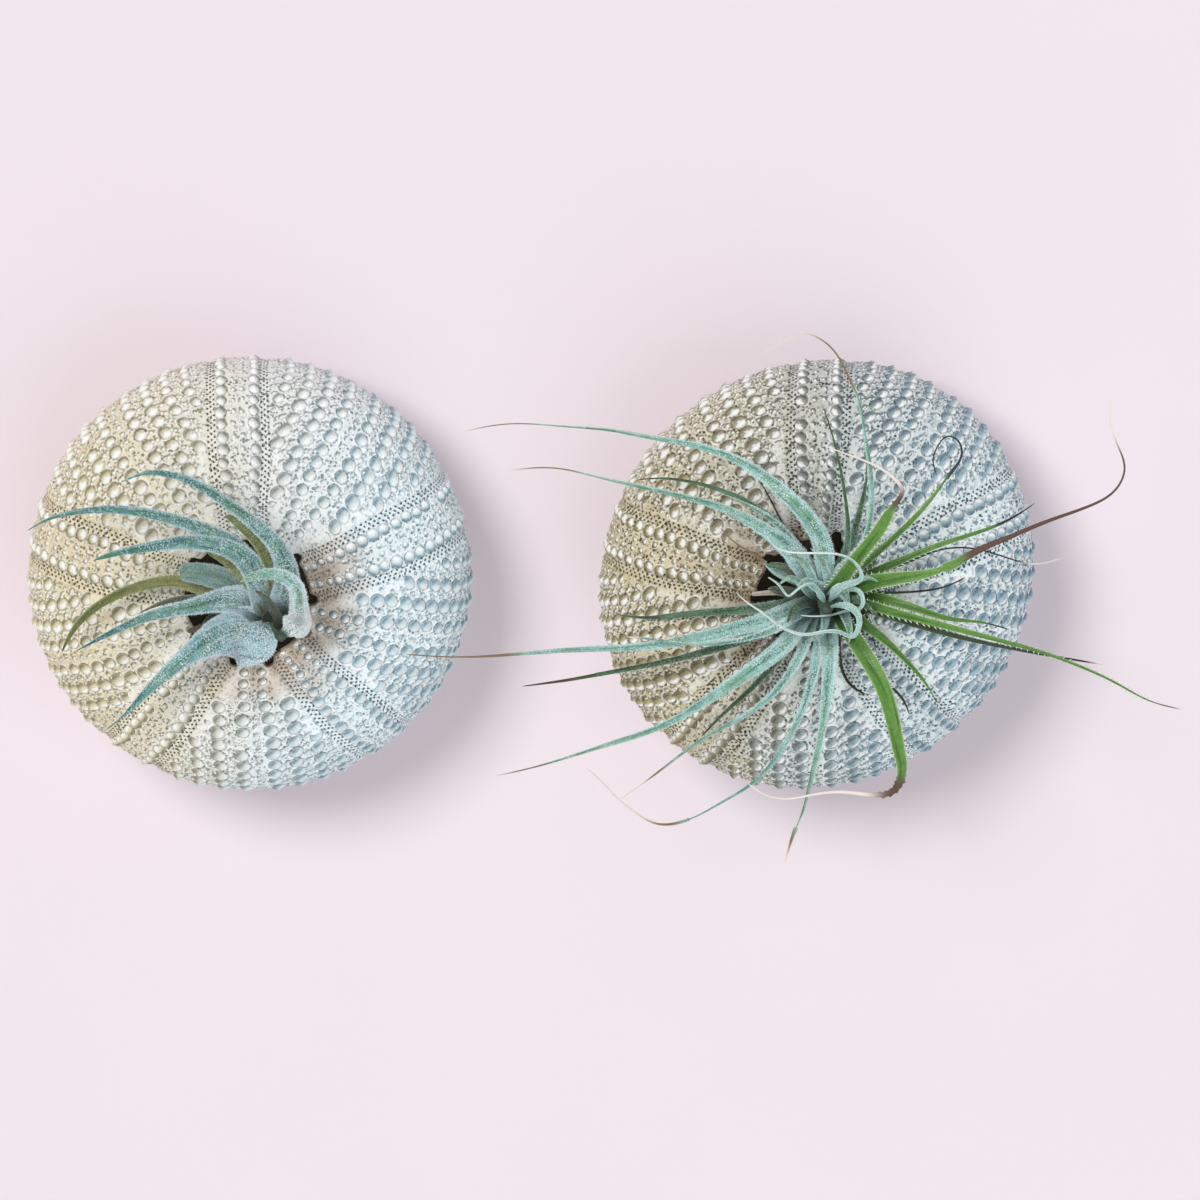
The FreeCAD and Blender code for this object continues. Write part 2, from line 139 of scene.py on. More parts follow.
# Tubercles stand in columns. A broad column of plates has them at even steps from its middle, more of
# them where it is wider; a narrow one has one column inside each pore band and small ones between.
ground_depth = 0.72
column_step = 4.05
inner_column = 1.5
inner_spread = 1.2
broad_radius = 1.1
broad_shares = (1.0, 1.1, 1.04, 0.94, 0.88, 0.8)
row_slant = 0.3
narrow_radius = 0.98
narrow_inset = 1.95
small_radius = 0.45
broad_room = 1.0
small_room = 0.6
# Small tubercles between broad columns: place as a share of the step, size, distance from the axis they
# start at.
small_columns = ((0.5, 1.0, 20), (0.36, 0.8, 25), (0.68, 0.75, 27), (0.0, 0.8, 30))
dome_height = 0.5
dome_power = 0.75
knob_share = 0.42
knob_height = 0.16
mouth_growth = 0.62
growth_from = 13
growth_over = 11
row_length = 400
jitter = 0.42
left_out_share = 0.01
groove_at = 1.1
groove_depth = 0.13
crest_at = 1.4
crest_height = 0.12
ring_width = 0.13
seam_depth = 0.07
seam_width = 0.1
pore_band_half = 0.95
row_pitch = 2.75
mouth_row_pitch = 1.9
narrow_rate = 1.16
far_away = 9.0
granule_pitch = 0.95
granule_height = 0.26
band_depth = 0.2
ridge_height = 0.22


def narrow_half(r):
    """Half the distance between a narrow column's pore bands: widens outwards, never over its share."""
    return np.minimum(3.6 + 1.6 * smooth_step((r - 12) / 18), 0.46 * math.pi / fold_count * r)


def relief(shell, angle, r, pitch, row):
    """Height over the ground, and masks, on a grid of headings (columns) and profile points (rows).

    Every column of tubercles is a rule: its middle is so far from the plate column's middle, and its
    tubercles sit where the row number is whole. The distance to the nearest one, over its radius, gives
    a dome, a groove round it and a raised ring round that. The highest of all columns is kept.
    """
    rng = np.random.default_rng(shell.seed)
    turn = np.radians(shell.turn) + 0.02 * np.sin(3 * angle + shell.seed)
    phase = (angle - turn) / (2 * math.pi / fold_count)
    fold = np.round(phase).astype(int) % fold_count
    half = math.pi / fold_count * r
    x_broad = (phase - np.round(phase)) * 2 * half
    x_narrow = half - np.abs(x_broad)
    right_half = (x_broad > 0).astype(int)
    band = narrow_half(r)
    room = half - band - pore_band_half
    growth = mouth_growth + (1 - mouth_growth) * smooth_step((r - growth_from) / growth_over)
    height = np.zeros_like(r)
    dome, groove, crest, lit = (np.zeros_like(r) for _ in range(4))
    near = np.full_like(r, far_away)

    def column(x, middle, radius, where, slant, key, rate=1.0):
        """Adds one column: x from its own middle, in mm; slant shifts its rows; rate sets them closer."""
        nonlocal height, dome, groove, crest, lit, near
        number = row * rate + slant + 0.5 * (key % 2)
        which = np.round(number).astype(int)
        table = rng.random((4, 2 * fold_count, row_length))
        pick = table[:, 2 * fold + right_half, which % row_length]
        size = radius * growth * (0.88 + 0.2 * pick[0])
        dx = x - middle - jitter * (pick[1] - 0.5)
        dy = (number - which) * pitch / rate - jitter * 0.7 * (pick[2] - 0.5)
        d = np.hypot(dx, dy) / size
        keep = where & (pick[3] > left_out_share)
        knob = knob_height * size * np.clip(1 - (d / knob_share) ** 2, 0, 1) ** 0.7
        bump = dome_height * size * np.clip(1 - d * d, 0, 1) ** dome_power + knob
        closer = keep & (d < near)
        height = np.maximum(height, np.where(keep, bump, 0))
        dome = np.maximum(dome, np.where(keep, smooth_step((1.04 - d) / 0.16), 0))
        groove = np.maximum(groove, np.where(keep, np.exp(-(((d - groove_at) / ring_width) ** 2)), 0))
        crest = np.maximum(crest, np.where(keep, np.exp(-(((d - crest_at) / ring_width) ** 2)), 0))
        near = np.minimum(near, np.where(keep, d, far_away))
        across = dx * np.where(x_broad >= 0, 1, -1)
        east = -np.sin(angle) * across + np.cos(angle) * dy
        north = np.cos(angle) * across + np.sin(angle) * dy
        # lit: which flank of its dome a point is on, positive towards the lower right, for the painted shade
        # and highlight on the domes.
        lit = np.where(closer, np.clip((east - north) * 0.7 / size, -1.5, 1.5), lit)

    far = np.abs(x_broad)
    first = inner_column + inner_spread * smooth_step((r - 14) / 16)
    for k, size_share in enumerate(broad_shares):
        middle = first + k * column_step
        column(far, middle, broad_radius * size_share, middle + broad_room < room, row_slant * k, k)
    for k in range(len(broad_shares) - 1):
        for share, size, start in small_columns:
            middle = first + (k + share) * column_step
            where = (middle + small_room < room) & (r > start)
            slant = row_slant * k + 0.4 + share
            column(far, middle, small_radius * size, where, slant, k + 11, 1.4 if share else 1.0)
    column(far, 0.0, small_radius, r > 17, row_slant, 21, 1.5)
    column(x_narrow, band - narrow_inset, narrow_radius, r > 5, 0.0, 30, narrow_rate)
    column(x_narrow, 0.9, small_radius, band > 3.9, 0.5, 31, narrow_rate)
    seam_row = row * narrow_rate + 0.5
    seam_at = (seam_row - np.round(seam_row)) * pitch / narrow_rate
    seam = np.exp(-((seam_at / seam_width) ** 2)) * smooth_step((x_narrow - band + 3.2) / 0.3)
    seam = seam * smooth_step((band - 0.85 - x_narrow) / 0.2) * (near > 1.02) * (r > 14)
    rings = crest_height * crest * (near > 1.2) - groove_depth * groove
    return {
        "height": height + rings * (1 - dome) - seam_depth * seam,
        "near": near,
        "dome": dome,
        "rim": np.maximum(groove * (1 - 0.8 * dome), 0.55 * seam),
        "crest": crest * (near > 1.22),
        "lit": lit,
        "cap": smooth_step((knob_share - near) / 0.2),
        "across": x_narrow - band,
    }


lip_wave = 0.18
lip_ripple = 0.12
lip_lift = 0.2


def shell_grid(shell, columns=1200, upper_rows=185, lower_rows=70, inner_rows=24, lip_rows=5):
    """Points of the whole closed surface: outer rows from lip to apex, inner rows back up, then the lip.

    The outer point is the profile's, moved in along its normal by the ground's depth less the relief.
    """
    r_fine, z_fine, arc_fine = outer_profile(shell)
    equator = arc_fine[np.argmax(r_fine)]
    arcs = np.concatenate([
        np.linspace(0, equator, upper_rows, endpoint=False),
        np.linspace(equator, arc_fine[-1], lower_rows),
    ])
    angle = np.arange(columns) / columns * 2 * math.pi
    ring = np.ones((len(arcs), 1))
    r0 = np.interp(arcs, arc_fine, r_fine)[:, None]
    z0 = np.interp(arcs, arc_fine, z_fine)[:, None]

    phase = (angle - math.radians(shell.turn)) / (2 * math.pi / fold_count)
    off = (phase - np.round(phase)) * 360 / fold_count
    from_notch = np.radians(np.abs(np.abs(off) - notch_half_angle_deg)) * shell.mouth
    notch = notch_depth * np.exp(-((from_notch / notch_half_width) ** 4))
    wave = lip_wave * np.sin(angle * 7 + shell.seed) + lip_ripple * np.sin(angle * 13) + lip_lift
    on_top = (arcs[:, None] < equator) * ring
    fade = np.clip(1 - (r0 - shell.mouth) / notch_reach, 0, 1) ** 1.5 * on_top
    r = r0 + (notch + wave) * fade
    z = np.where((on_top > 0) & (fade > 0), upper_height(shell, r), z0 + 0 * r)

    slope_r = np.gradient(r_fine, arc_fine)
    slope_z = np.gradient(z_fine, arc_fine)
    t_r = np.interp(arcs, arc_fine, slope_r)[:, None]
    t_z = np.interp(arcs, arc_fine, slope_z)[:, None]
    size = np.hypot(t_r, t_z)
    n_r, n_z = -t_z / size, t_r / size

    local_pitch = mouth_row_pitch + (row_pitch - mouth_row_pitch) * smooth_step((r_fine - 12) / 10)
    rows_passed = np.concatenate([[0], np.cumsum(np.diff(arc_fine) / local_pitch[1:])])
    row = np.interp(arcs, arc_fine, rows_passed)[:, None]
    pitch = np.interp(arcs, arc_fine, local_pitch)[:, None]
    marks = relief(shell, angle + 0 * r0, r0 + 0 * angle, pitch + 0 * angle, row + 0 * angle)

    plan = np.stack([r0 * np.cos(angle), r0 * np.sin(angle), z0 + 0 * angle], -1)
    free = smooth_step((marks.pop("near") - 1.2) / 0.25)
    smooth_zone = np.exp(-(((marks["across"] - 2.4) / 1.1) ** 2)) * smooth_step((33 - r0) / 6)
    grain = smooth_step(1.25 - cell_bumps(plan, granule_pitch, shell.seed) / 0.4)
    grain = grain * free * (1 - 0.7 * smooth_zone)
    in_band = smooth_step((pore_band_half - np.abs(marks["across"])) / 0.3)
    height = marks.pop("height") + granule_height * grain * (1 - in_band)
    height = height - band_depth * in_band + ridge_height * smooth_zone
    from_lip = smooth_step(arcs[:, None] / 1.6)
    from_apex = smooth_step((arc_fine[-1] - arcs[:, None]) / 1.5)
    outside = -ground_depth * (0.35 + 0.65 * from_lip) + height * from_lip
    upright = np.stack([r * np.cos(angle), r * np.sin(angle), z], -1)
    sunk = placed(shell, upright)[..., 2]
    push = outside * from_apex * smooth_step(sunk / 1.5)
    outer_r, outer_z = r + n_r * push, z + n_z * push

    inner_arcs = np.linspace(arc_fine[-1], 0, inner_rows)
    i_r = np.interp(inner_arcs, arc_fine, r_fine - wall * -slope_z / np.hypot(slope_r, slope_z))[:, None]
    i_z = np.interp(inner_arcs, arc_fine, z_fine - wall * slope_r / np.hypot(slope_r, slope_z))[:, None]
    inner_fade = np.clip(1 - (i_r - i_r[-1]) / notch_reach, 0, 1) * (inner_arcs[:, None] < equator)
    inner_r = i_r + (notch + wave) * inner_fade
    inner_z = i_z + 0 * inner_r
    turn = (np.arange(1, lip_rows + 1) / (lip_rows + 1))[:, None] * math.pi
    mid_r = (inner_r[-1] + outer_r[0]) / 2
    mid_z = (inner_z[-1] + outer_z[0]) / 2
    half_r = (inner_r[-1] - outer_r[0]) / 2
    half_z = (inner_z[-1] - outer_z[0]) / 2
    bulge = np.hypot(half_r, half_z) * (1 - 0.45 * notch / notch_depth)
    lip_r = mid_r + half_r * np.cos(turn) - bulge * np.sin(turn) * 0.9
    lip_z = mid_z + half_z * np.cos(turn) + 0 * bulge
    every_r = np.concatenate([outer_r, inner_r, lip_r])
    every_z = np.concatenate([outer_z, inner_z, lip_z])
    x, y = oval_plan(shell, every_r * np.cos(angle), every_r * np.sin(angle))
    points = placed(shell, np.stack([x, y, every_z], -1))
    points[..., 2] = np.maximum(points[..., 2], 0)

    rest = inner_rows + lip_rows
    marks |= {"grain": grain, "along": row * np.ones_like(grain), "smooth": smooth_zone}
    marks = {key: np.concatenate([values, np.zeros((rest, columns))]) for key, values in marks.items()}
    inner_share = np.repeat([0.0, 1.0, 0.35], [len(arcs), inner_rows, lip_rows])
    marks["inside"] = inner_share[:, None] * np.ones(columns)
    marks["across"][len(arcs):] = far_away
    return points, marks, len(arcs)


def surface_normals(points):
    """Normals of a grid that closes both ways: the cross product of its two central differences."""
    down = np.roll(points, -1, 0) - np.roll(points, 1, 0)
    over = np.roll(points, -1, 1) - np.roll(points, 1, 1)
    n = np.cross(down, over)
    return n / np.maximum(np.linalg.norm(n, axis=-1, keepdims=True), 1e-12)


def new_piece(name, points_mm, faces, uv=None, attributes=None, normals=None):
    """Makes a mesh object at the origin from points in millimetres and a list of face arrays."""
    mesh = bpy.data.meshes.new(name)
    mesh.vertices.add(len(points_mm))
    mesh.vertices.foreach_set("co", (points_mm * mm).astype(np.float32).ravel())
    corners = np.concatenate([f.ravel() for f in faces]).astype(np.int32)
    totals = np.concatenate([np.full(len(f), f.shape[1]) for f in faces]).astype(np.int32)
    mesh.loops.add(len(corners))
    mesh.loops.foreach_set("vertex_index", corners)
    mesh.polygons.add(len(totals))
    mesh.polygons.foreach_set("loop_start", np.concatenate([[0], np.cumsum(totals)[:-1]]).astype(np.int32))
    mesh.polygons.foreach_set("loop_total", totals)
    mesh.update(calc_edges=True)
    if uv is not None:
        layer = mesh.uv_layers.new(name="UVMap")
        layer.uv.foreach_set("vector", uv[corners].astype(np.float32).ravel())
    for key, values in (attributes or {}).items():
        layer = mesh.attributes.new(key, "FLOAT", "POINT")
        layer.data.foreach_set("value", np.ascontiguousarray(values, dtype=np.float32).ravel())
    mesh.validate()
    mesh.polygons.foreach_set("use_smooth", np.ones(len(mesh.polygons), bool))
    if normals is not None:
        mesh.normals_split_custom_set_from_vertices(normals)
    piece = bpy.data.objects.new(name, mesh)
    bpy.context.scene.collection.objects.link(piece)
    return piece


def settle(piece, finish, body, node):
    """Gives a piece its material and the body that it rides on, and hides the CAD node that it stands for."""
    piece.data.materials.append(finish)
    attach(piece, body)
    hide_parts(node)


def tube_faces(rows, around):
    """A closed tube's quads, rows by around, and the two caps at its ends, all wound the same way."""
    number = np.arange(rows * around).reshape(rows, around)
    beside = np.roll(number, -1, 1)
    quads = np.stack([number[:-1], beside[:-1], beside[1:], number[1:]], -1).reshape(-1, 4)
    return [quads, number[:1, ::-1], number[-1:]]


def shell_sectors(shell, finish):
    """Cuts the closed surface at the middles of its narrow columns into five pieces, with flat ends."""
    points, marks, outer_rows = shell_grid(shell)
    normals = surface_normals(points)
    rows, columns = points.shape[:2]
    span = columns // fold_count
    first = int(round((shell.turn / 360 - 0.5 / fold_count) * columns))
    for k in range(fold_count):
        pick = (first + k * span + np.arange(span + 1)) % columns
        part = points[:, pick]
        number = np.arange(rows * (span + 1)).reshape(rows, span + 1)
        below = np.roll(number, -1, 0)
        quads = np.stack([number[:, :-1], below[:, :-1], below[:, 1:], number[:, 1:]], -1).reshape(-1, 4)
        back = np.arange(rows - 1, outer_rows - 1, -1)
        share = np.linspace(0, len(back) - 1, outer_rows).round().astype(int)
        ends = []
        for edge, flip in ((0, False), (span, True)):
            o, i = number[:outer_rows, edge], number[back, edge][share]
            outer_side = np.stack([o[:-1], i[:-1], o[1:]], -1)
            inner_side = np.stack([i[:-1], i[1:], o[1:]], -1)
            tri = np.concatenate([outer_side, inner_side])
            tri = tri[(tri[:, 0] != tri[:, 1]) & (tri[:, 1] != tri[:, 2])]
            ends.append(tri[:, ::-1] if flip else tri)
        inner_rows = rows - outer_rows
        v_share = np.concatenate([np.linspace(0.1, 0.99, outer_rows), np.linspace(0.09, 0.01, inner_rows)])
        uv = np.stack(np.broadcast_arrays(np.linspace(0.01, 0.99, span + 1), v_share[:, None]), -1)
        piece = new_piece(
            f"{shell.name}_test_{k + 1}", part.reshape(-1, 3), [quads, *ends], uv.reshape(-1, 2),
            {key: v[:, pick] for key, v in marks.items()}, normals[:, pick].reshape(-1, 3),
        )
        settle(piece, finish, f"{shell.name}_shell", f"{shell.name}_shell")


def colour(code):
    """A hex colour of the screen as the linear colour that a shader takes."""
    parts = [int(code[i:i + 2], 16) / 255 for i in (1, 3, 5)]
    return tuple(c / 12.92 if c <= 0.04045 else ((c + 0.055) / 1.055) ** 2.4 for c in parts) + (1.0,)


class Tone:
    """A socket that adds Math nodes when values are worked out with it, and other nodes through node()."""

    def __init__(self, tree, socket):
        self.tree, self.socket = tree, socket

    def math(self, operation, *values, clamp=False):
        n = self.tree.nodes.new("ShaderNodeMath")
        n.operation, n.use_clamp = operation, clamp
        for socket, value in zip(n.inputs, values):
            join(self.tree, socket, value)
        return Tone(self.tree, n.outputs[0])

    def __add__(self, other):
        return self.math("ADD", self, other)

    __radd__ = __add__

    def __sub__(self, other):
        return self.math("SUBTRACT", self, other)

    def __rsub__(self, other):
        return self.math("SUBTRACT", other, self)

    def __mul__(self, other):
        return self.math("MULTIPLY", self, other)

    def __truediv__(self, other):
        return self.math("DIVIDE", self, other)

    def __neg__(self):
        return self.math("MULTIPLY", self, -1.0)

    def fraction(self):
        return self.math("FRACT", self)

    def size(self):
        return self.math("ABSOLUTE", self)

    def root(self):
        return self.math("SQRT", self)

    def most(self, other):
        return self.math("MAXIMUM", self, other)

    def limited(self):
        return self.math("ADD", self, 0.0, clamp=True)

    def step(self, start, end):
        """0 at start and before, 1 at end and after, smooth between."""
        n = self.tree.nodes.new("ShaderNodeMapRange")
        n.interpolation_type = "SMOOTHSTEP"
        for key, value in (("Value", self), ("From Min", start), ("From Max", end)):
            join(self.tree, n.inputs[key], value)
        return Tone(self.tree, n.outputs["Result"])


def join(tree, socket, value):
    """Links a tone to a socket, or sets the socket to a plain value."""
    if isinstance(value, Tone):
        tree.links.new(value.socket, socket)
    else:
        socket.default_value = value


class Finish:
    """A material with one principled shader, and short ways to add the nodes that feed it."""

    def __init__(self, name, **sockets):
        self.material = bpy.data.materials.new(name)
        self.material.use_nodes = True
        self.tree = self.material.node_tree
        self.shader = self.tree.nodes["Principled BSDF"]
        self.where = self.node("ShaderNodeTexCoord", out="Object")
        for key, value in sockets.items():
            self.shader.inputs[key.replace("_", " ").title().replace("Ior", "IOR")].default_value = value

    def node(self, kind, settings=None, out=0, **sockets):
        """Adds any node: its settings first, then the values or links of its sockets."""
        n = self.tree.nodes.new(kind)
        for key, value in (settings or {}).items():
            setattr(n, key, value)
        for key, value in sockets.items():
            join(self.tree, n.inputs[key.replace("_", " ")], value)
        return Tone(self.tree, n.outputs[out])

    def mark(self, name):
        """One of the piece's own attributes, as a number."""
        return self.node("ShaderNodeAttribute", {"attribute_name": name}, out="Fac")

    def noise(self, grain_mm, detail=2.0, rough=0.5):
        """Smooth noise whose grain is so many millimetres."""
        return self.node("ShaderNodeTexNoise", Vector=self.where, Scale=1 / (grain_mm * mm), Detail=detail,
                         Roughness=rough)

    def cells(self, grain_mm):
        """Distance to the nearest seed of a cell pattern, in cells."""
        return self.node("ShaderNodeTexVoronoi", out="Distance", Vector=self.where, Scale=1 / (grain_mm * mm))

    def mix(self, factor, a, b):
        """Mixes two colours, each a hex code or a tone."""
        n = self.tree.nodes.new("ShaderNodeMix")
        n.data_type = "RGBA"
        for socket, value in zip((n.inputs[0], n.inputs[6], n.inputs[7]), (factor, a, b)):
            join(self.tree, socket, colour(value) if isinstance(value, str) else value)
        return Tone(self.tree, n.outputs[2])

    def axis(self, name):
        """X, Y or Z of the place on the piece, in millimetres."""
        parts = self.tree.nodes.new("ShaderNodeSeparateXYZ")
        join(self.tree, parts.inputs[0], self.where)
        return Tone(self.tree, parts.outputs[name]) * (1 / mm)

    def feed(self, **sockets):
        """Links tones to the shader's sockets."""
        for key, value in sockets.items():
            join(self.tree, self.shader.inputs[key.replace("_", " ")], value)

    def bump(self, height, depth_mm, strength=1.0):
        """Feeds a height, 0 to 1, to the shader's normal as so many millimetres of relief."""
        depth = depth_mm * mm
        normal = self.node("ShaderNodeBump", out="Normal", Height=height, Distance=depth, Strength=strength)
        self.feed(Normal=normal)


# Each shell's tones: its ground and domes in a painted warm light, in their own colour and in a painted cool
# light, and its pits in the painted warm and cool light; the tan stain, its heading east and north and its
# reach in mm; how strong the specks, blobs, dark caps and painted groove shade are; and the bump's depth in
# mm.
TestTones = namedtuple(
    "TestTones",
    "ground_warm ground_mid ground_cool dome_warm dome_mid dome_cool pit_warm pit_cool tan "
    "tan_east tan_north tan_reach speckle blobs caps grooves bump_mm",
)
tones = {
    name: TestTones(*codes.split(), *numbers)
    for name, codes, numbers in (
        ("left", "#F0E3C2 #F3F5F3 #EFFBFF #DED6B4 #DEE2DB #DAECF2 #625B40 #4A7286 #AE8549",
         (0.8, -0.6, 13.0, 0.8, 0.1, 0.2, 0.95, 0.2)),
        ("right", "#E2D6B6 #D2D9D7 #F2FDFF #B6AB84 #8C9696 #B6CED8 #4C432C #33627C #86632F",
         (-0.93, 0.3, 13.0, 1.0, 0.3, 0.75, 1.0, 0.26)),
    )
}
chalk_and_highlight_white = "#FFFFFF"
pore_black = "#22262A"
# The inside's own brown, darkened as painted shade.
inside_shaded_brown = "#352D24"
inside_shaded_pale = "#6B5E4C"
cloud_grain = 9
pore_pitch = 1.05
pore_spacing = 0.62
pore_radius = 0.2
pore_slant = 0.35
speck_cell = 0.95
fine_speck_cell = 0.66
blob_cell = 1.5


def test_finish(shell):
    """Chalky calcite in painted light: a painted warm tint on one side and a painted cool tint on the other,
    domes, grooves darkened by painted shade, pores and specks.

    The ground and the domes are coloured by the place on the shell, the warm and cool tints standing for the
    colours of the light, and each dome gets painted shade on one flank and a painted highlight on the other,
    by the mark that says which of its flanks a point is on. The inside is the shell's own brown, darkened as
    painted shade. Pores and specks are then laid on the ground.
    """
    t = tones[shell.name]
    f = Finish(f"{shell.name}_test_calcite", roughness=0.72, specular_ior_level=0.35)
    dome, rim, crest, grain = f.mark("dome"), f.mark("rim"), f.mark("crest"), f.mark("grain")
    lit, across, along = f.mark("lit"), f.mark("across"), f.mark("along")
    cap, smooth = f.mark("cap"), f.mark("smooth")

    cloud = f.noise(cloud_grain, 3.0) - 0.5
    dx, dy = f.axis("X") - shell.centre[0], f.axis("Y") - shell.centre[1]
    east = dx / shell.radius + cloud * 0.5
    # Painted light: a warm tint towards -X and a cool tint towards +X and -Y, with a cloudy border.
    warm_light = (-east).step(-0.25, 0.8)
    cool_light = (east * 0.9 - dy / shell.radius * 0.32).step(-0.2, 0.6)
    pit_and_shade = f.mix(east.step(-0.3, 0.5), t.pit_warm, t.pit_cool)
    ground = f.mix(cool_light, f.mix(warm_light, t.ground_mid, t.ground_warm), t.ground_cool)
    domes = f.mix(cool_light, f.mix(warm_light, t.dome_mid, t.dome_warm), t.dome_cool)
    away = (dx * dx + dy * dy).root()
    toward = ((dx * t.tan_east + dy * t.tan_north) / away).step(-0.1, 0.6)
    near_tan = toward * (1 - ((away - shell.mouth) / t.tan_reach + cloud * 1.1).step(0.1, 1.1))
    ground = f.mix(near_tan * 0.72, ground, t.tan)
    domes = f.mix(near_tan * 0.4, domes, t.tan)
    ground = f.mix(f.noise(2.2, 4.0).step(0.35, 0.75) * 0.14, ground, domes)
    ground = f.mix((1 - grain) * (1 - smooth) * (1 - crest) * 0.12, ground, f.mix(0.5, domes, pit_and_shade))

    # Painted highlight on each crest's lower-right side, over the crests' own chalky white; the smooth zones
    # are paler too.
    pale_rings_and_highlight = crest * (0.5 + lit.step(-0.5, 1.0) * 0.5) + smooth * 0.35
    body = f.mix(pale_rings_and_highlight, ground, f.mix(0.85, ground, chalk_and_highlight_white))
    # Painted shade on each dome's upper-left flank and a painted highlight on its lower-right flank; the knob
    # gets a darker spot, left off its lit side, and a painted highlight.
    shade = f.mix(lit.step(-0.9, 0.0) * 0.9 + 0.1, f.mix(0.95, domes, pit_and_shade), domes)
    shade = f.mix(lit.step(0.05, 0.5) * 0.95, shade, chalk_and_highlight_white)
    shade = f.mix(cap * t.caps * (1 - lit.step(0.05, 0.4)), shade, f.mix(0.5, domes, pit_and_shade))
    shade = f.mix(cap * lit.step(-0.15, 0.25) * 0.85, shade, chalk_and_highlight_white)
    blob = (1 - f.cells(blob_cell).step(0.28, 0.42)) * (1 - smooth) * (1 - crest)
    body = f.mix(blob * t.blobs, body, f.mix(0.45, domes, pit_and_shade))
    body = f.mix(dome, body, shade)

    coarse = 1 - f.cells(speck_cell).step(0.2, 0.35)
    fine = (1 - f.cells(fine_speck_cell).step(0.2, 0.34)) * 0.8
    speck = coarse.most(fine) * (1 - dome) * (1 - crest * 0.7) * (1 - smooth * 0.7)
    body = f.mix(speck * t.speckle * f.noise(4.0, 3.0).step(0.3, 0.56), body, pit_and_shade)
    # Painted shade in the grooves round the domes, less on each dome's lit side, and the dark plate seams
    # with it.
    body = f.mix(rim * t.grooves * (1 - lit.step(-0.6, 1.0) * 0.6), body, f.mix(0.85, domes, pit_and_shade))
    u = across / pore_spacing + 0.5
    v = along * (row_pitch / pore_pitch) + u * pore_slant + (f.noise(1.6) - 0.5) * 0.6
    du, dv = u.fraction() - 0.5, v.fraction() - 0.5
    px, py = du * pore_spacing, (dv - du * pore_slant) * pore_pitch
    pore = 1 - (px * px + py * py).root().step(pore_radius * 0.75, pore_radius * 1.25)
    pore = pore * (pore_band_half + 0.1 - across.size()).step(0.0, 0.1)
    body = f.mix(pore * 0.92, body, f.mix(0.5, pit_and_shade, pore_black))
    # The inside and the lip in the shell's own brown, darkened as painted shade.
    body = f.mix(f.mark("inside"), body, f.mix(f.noise(3, 4.0), inside_shaded_brown, inside_shaded_pale))
    f.feed(Base_Color=body)
    f.bump(f.noise(0.55, 3.0) * 0.9 - pore * 0.8 - speck * 0.8, t.bump_mm, 1.0)
    return f.material


def shade_sheet_piece(shell, finish, rings=24, around=72):
    """A thin dark closed disc across the apex hole, painted shade where the floor under the shell would show:
    it sags by a shallow bell, and both faces are wrinkled.
    """
    share = np.concatenate([np.linspace(0.02, 1, rings), np.linspace(1, 0.02, rings)])[:, None]
    angle = np.arange(around) / around * 2 * math.pi
    side = np.repeat([-1.0, 1.0], rings)[:, None]
    r = share * (apex_hole_radius + shade_sheet_overlap)
    wrinkle = coarse_wrinkle * np.sin(angle * 7 + share * 5) + fine_wrinkle * np.sin(angle * 3 - share * 11)
    dip = (wrinkle - shade_sheet_sag * (1 - share**2)) * (share < 1)
    z = -shell.lower + wall * shade_sheet_height + side * shade_sheet_thickness / 2 + dip
    x, y = oval_plan(shell, r * np.cos(angle), r * np.sin(angle))
    points = placed(shell, np.stack([x, y, z], -1).reshape(-1, 3))
    none = np.zeros(len(points))
    marks = dict.fromkeys(("dome", "rim", "crest", "lit", "cap", "grain", "along", "smooth"), none)
    marks |= {"inside": none + 1, "across": none + far_away}
    piece = new_piece(f"{shell.name}_apex_membrane", points, tube_faces(2 * rings, around), None, marks)
    settle(piece, finish, f"{shell.name}_shell", f"{shell.name}_shell")


for shell in shells:
    calcite = test_finish(shell)
    shell_sectors(shell, calcite)
    shade_sheet_piece(shell, calcite)

# The leaves: two small air plants, each a loose rosette of narrow channelled leaves. The blades are clothed
# in silvery scales, thickest at their clasping bases, and many end in a dry brown tip or a pale thread.
# Every leaf follows the marks that its middle passes over in the photograph, on its own tier.
leaf_width = 4.0
leaf_thickness = 0.75
thread_width = 0.5
channel_share = 0.2
base_width_share = 0.45
thinnest_share = 0.8
edge_share = 0.74
seat_gap = 0.3
stem_radius = 3.1
stem_tip_radius = 0.9
stem_tail = 9.5
stem_tail_radius = 1.9
view_lean_deg = 16.6
tooth_pitch = 1.1
tooth_length = 0.55
tooth_width = 0.3
scale_roughness = 0.06
scale_count = 2400
scale_length = 0.3
scale_width = 0.12
scale_root = 0.08
seen_channel_share = 0.32
dry_taper = 0.07
clasp_end = 0.14
slim_over = 0.4
thread_start = 0.85
thread_fall = 0.4
neck_share = 0.28
tip_share = 0.02
sway_width = 0.2
sway_pitch = 5.5
brown_fade = 0.05
pale_fade = 0.08
leaf_rings = 230
face_points = 9
bare_length = 8.0
frosted = ("frost", "bud")

# A plant: its shell, where its stem stands, how deep under the mouth's edge its lowest leaf starts, the step
# between tiers, how many there are, how much they fan out, where the photograph shows its mouth and how large
# the shell, its leaves and their looks. The painted shade in its crown starts shade_top over the stem's tip,
# in mm, deepens over shade_depth and fades out at shade_reach from the stem.
Plant = namedtuple(
    "Plant",
    "shell crown base_depth pitch tiers fan mouth_px px_radius leaves looks "
    "shade_top shade_depth shade_reach",
)
# Each leaf: tier, width as a share of leaf_width, taper power, and the marks that its middle passes over in
# the photograph. Some differ in the share of their length that is blade, in the share of the shell's radius
# that they rise past the shell's edge, and in thickness as a share of leaf_thickness.
Leaf = namedtuple(
    "Leaf", "tier width_share taper marks_px blade_share lift_share thick_share", defaults=(1.0, 0, 1.0)
)

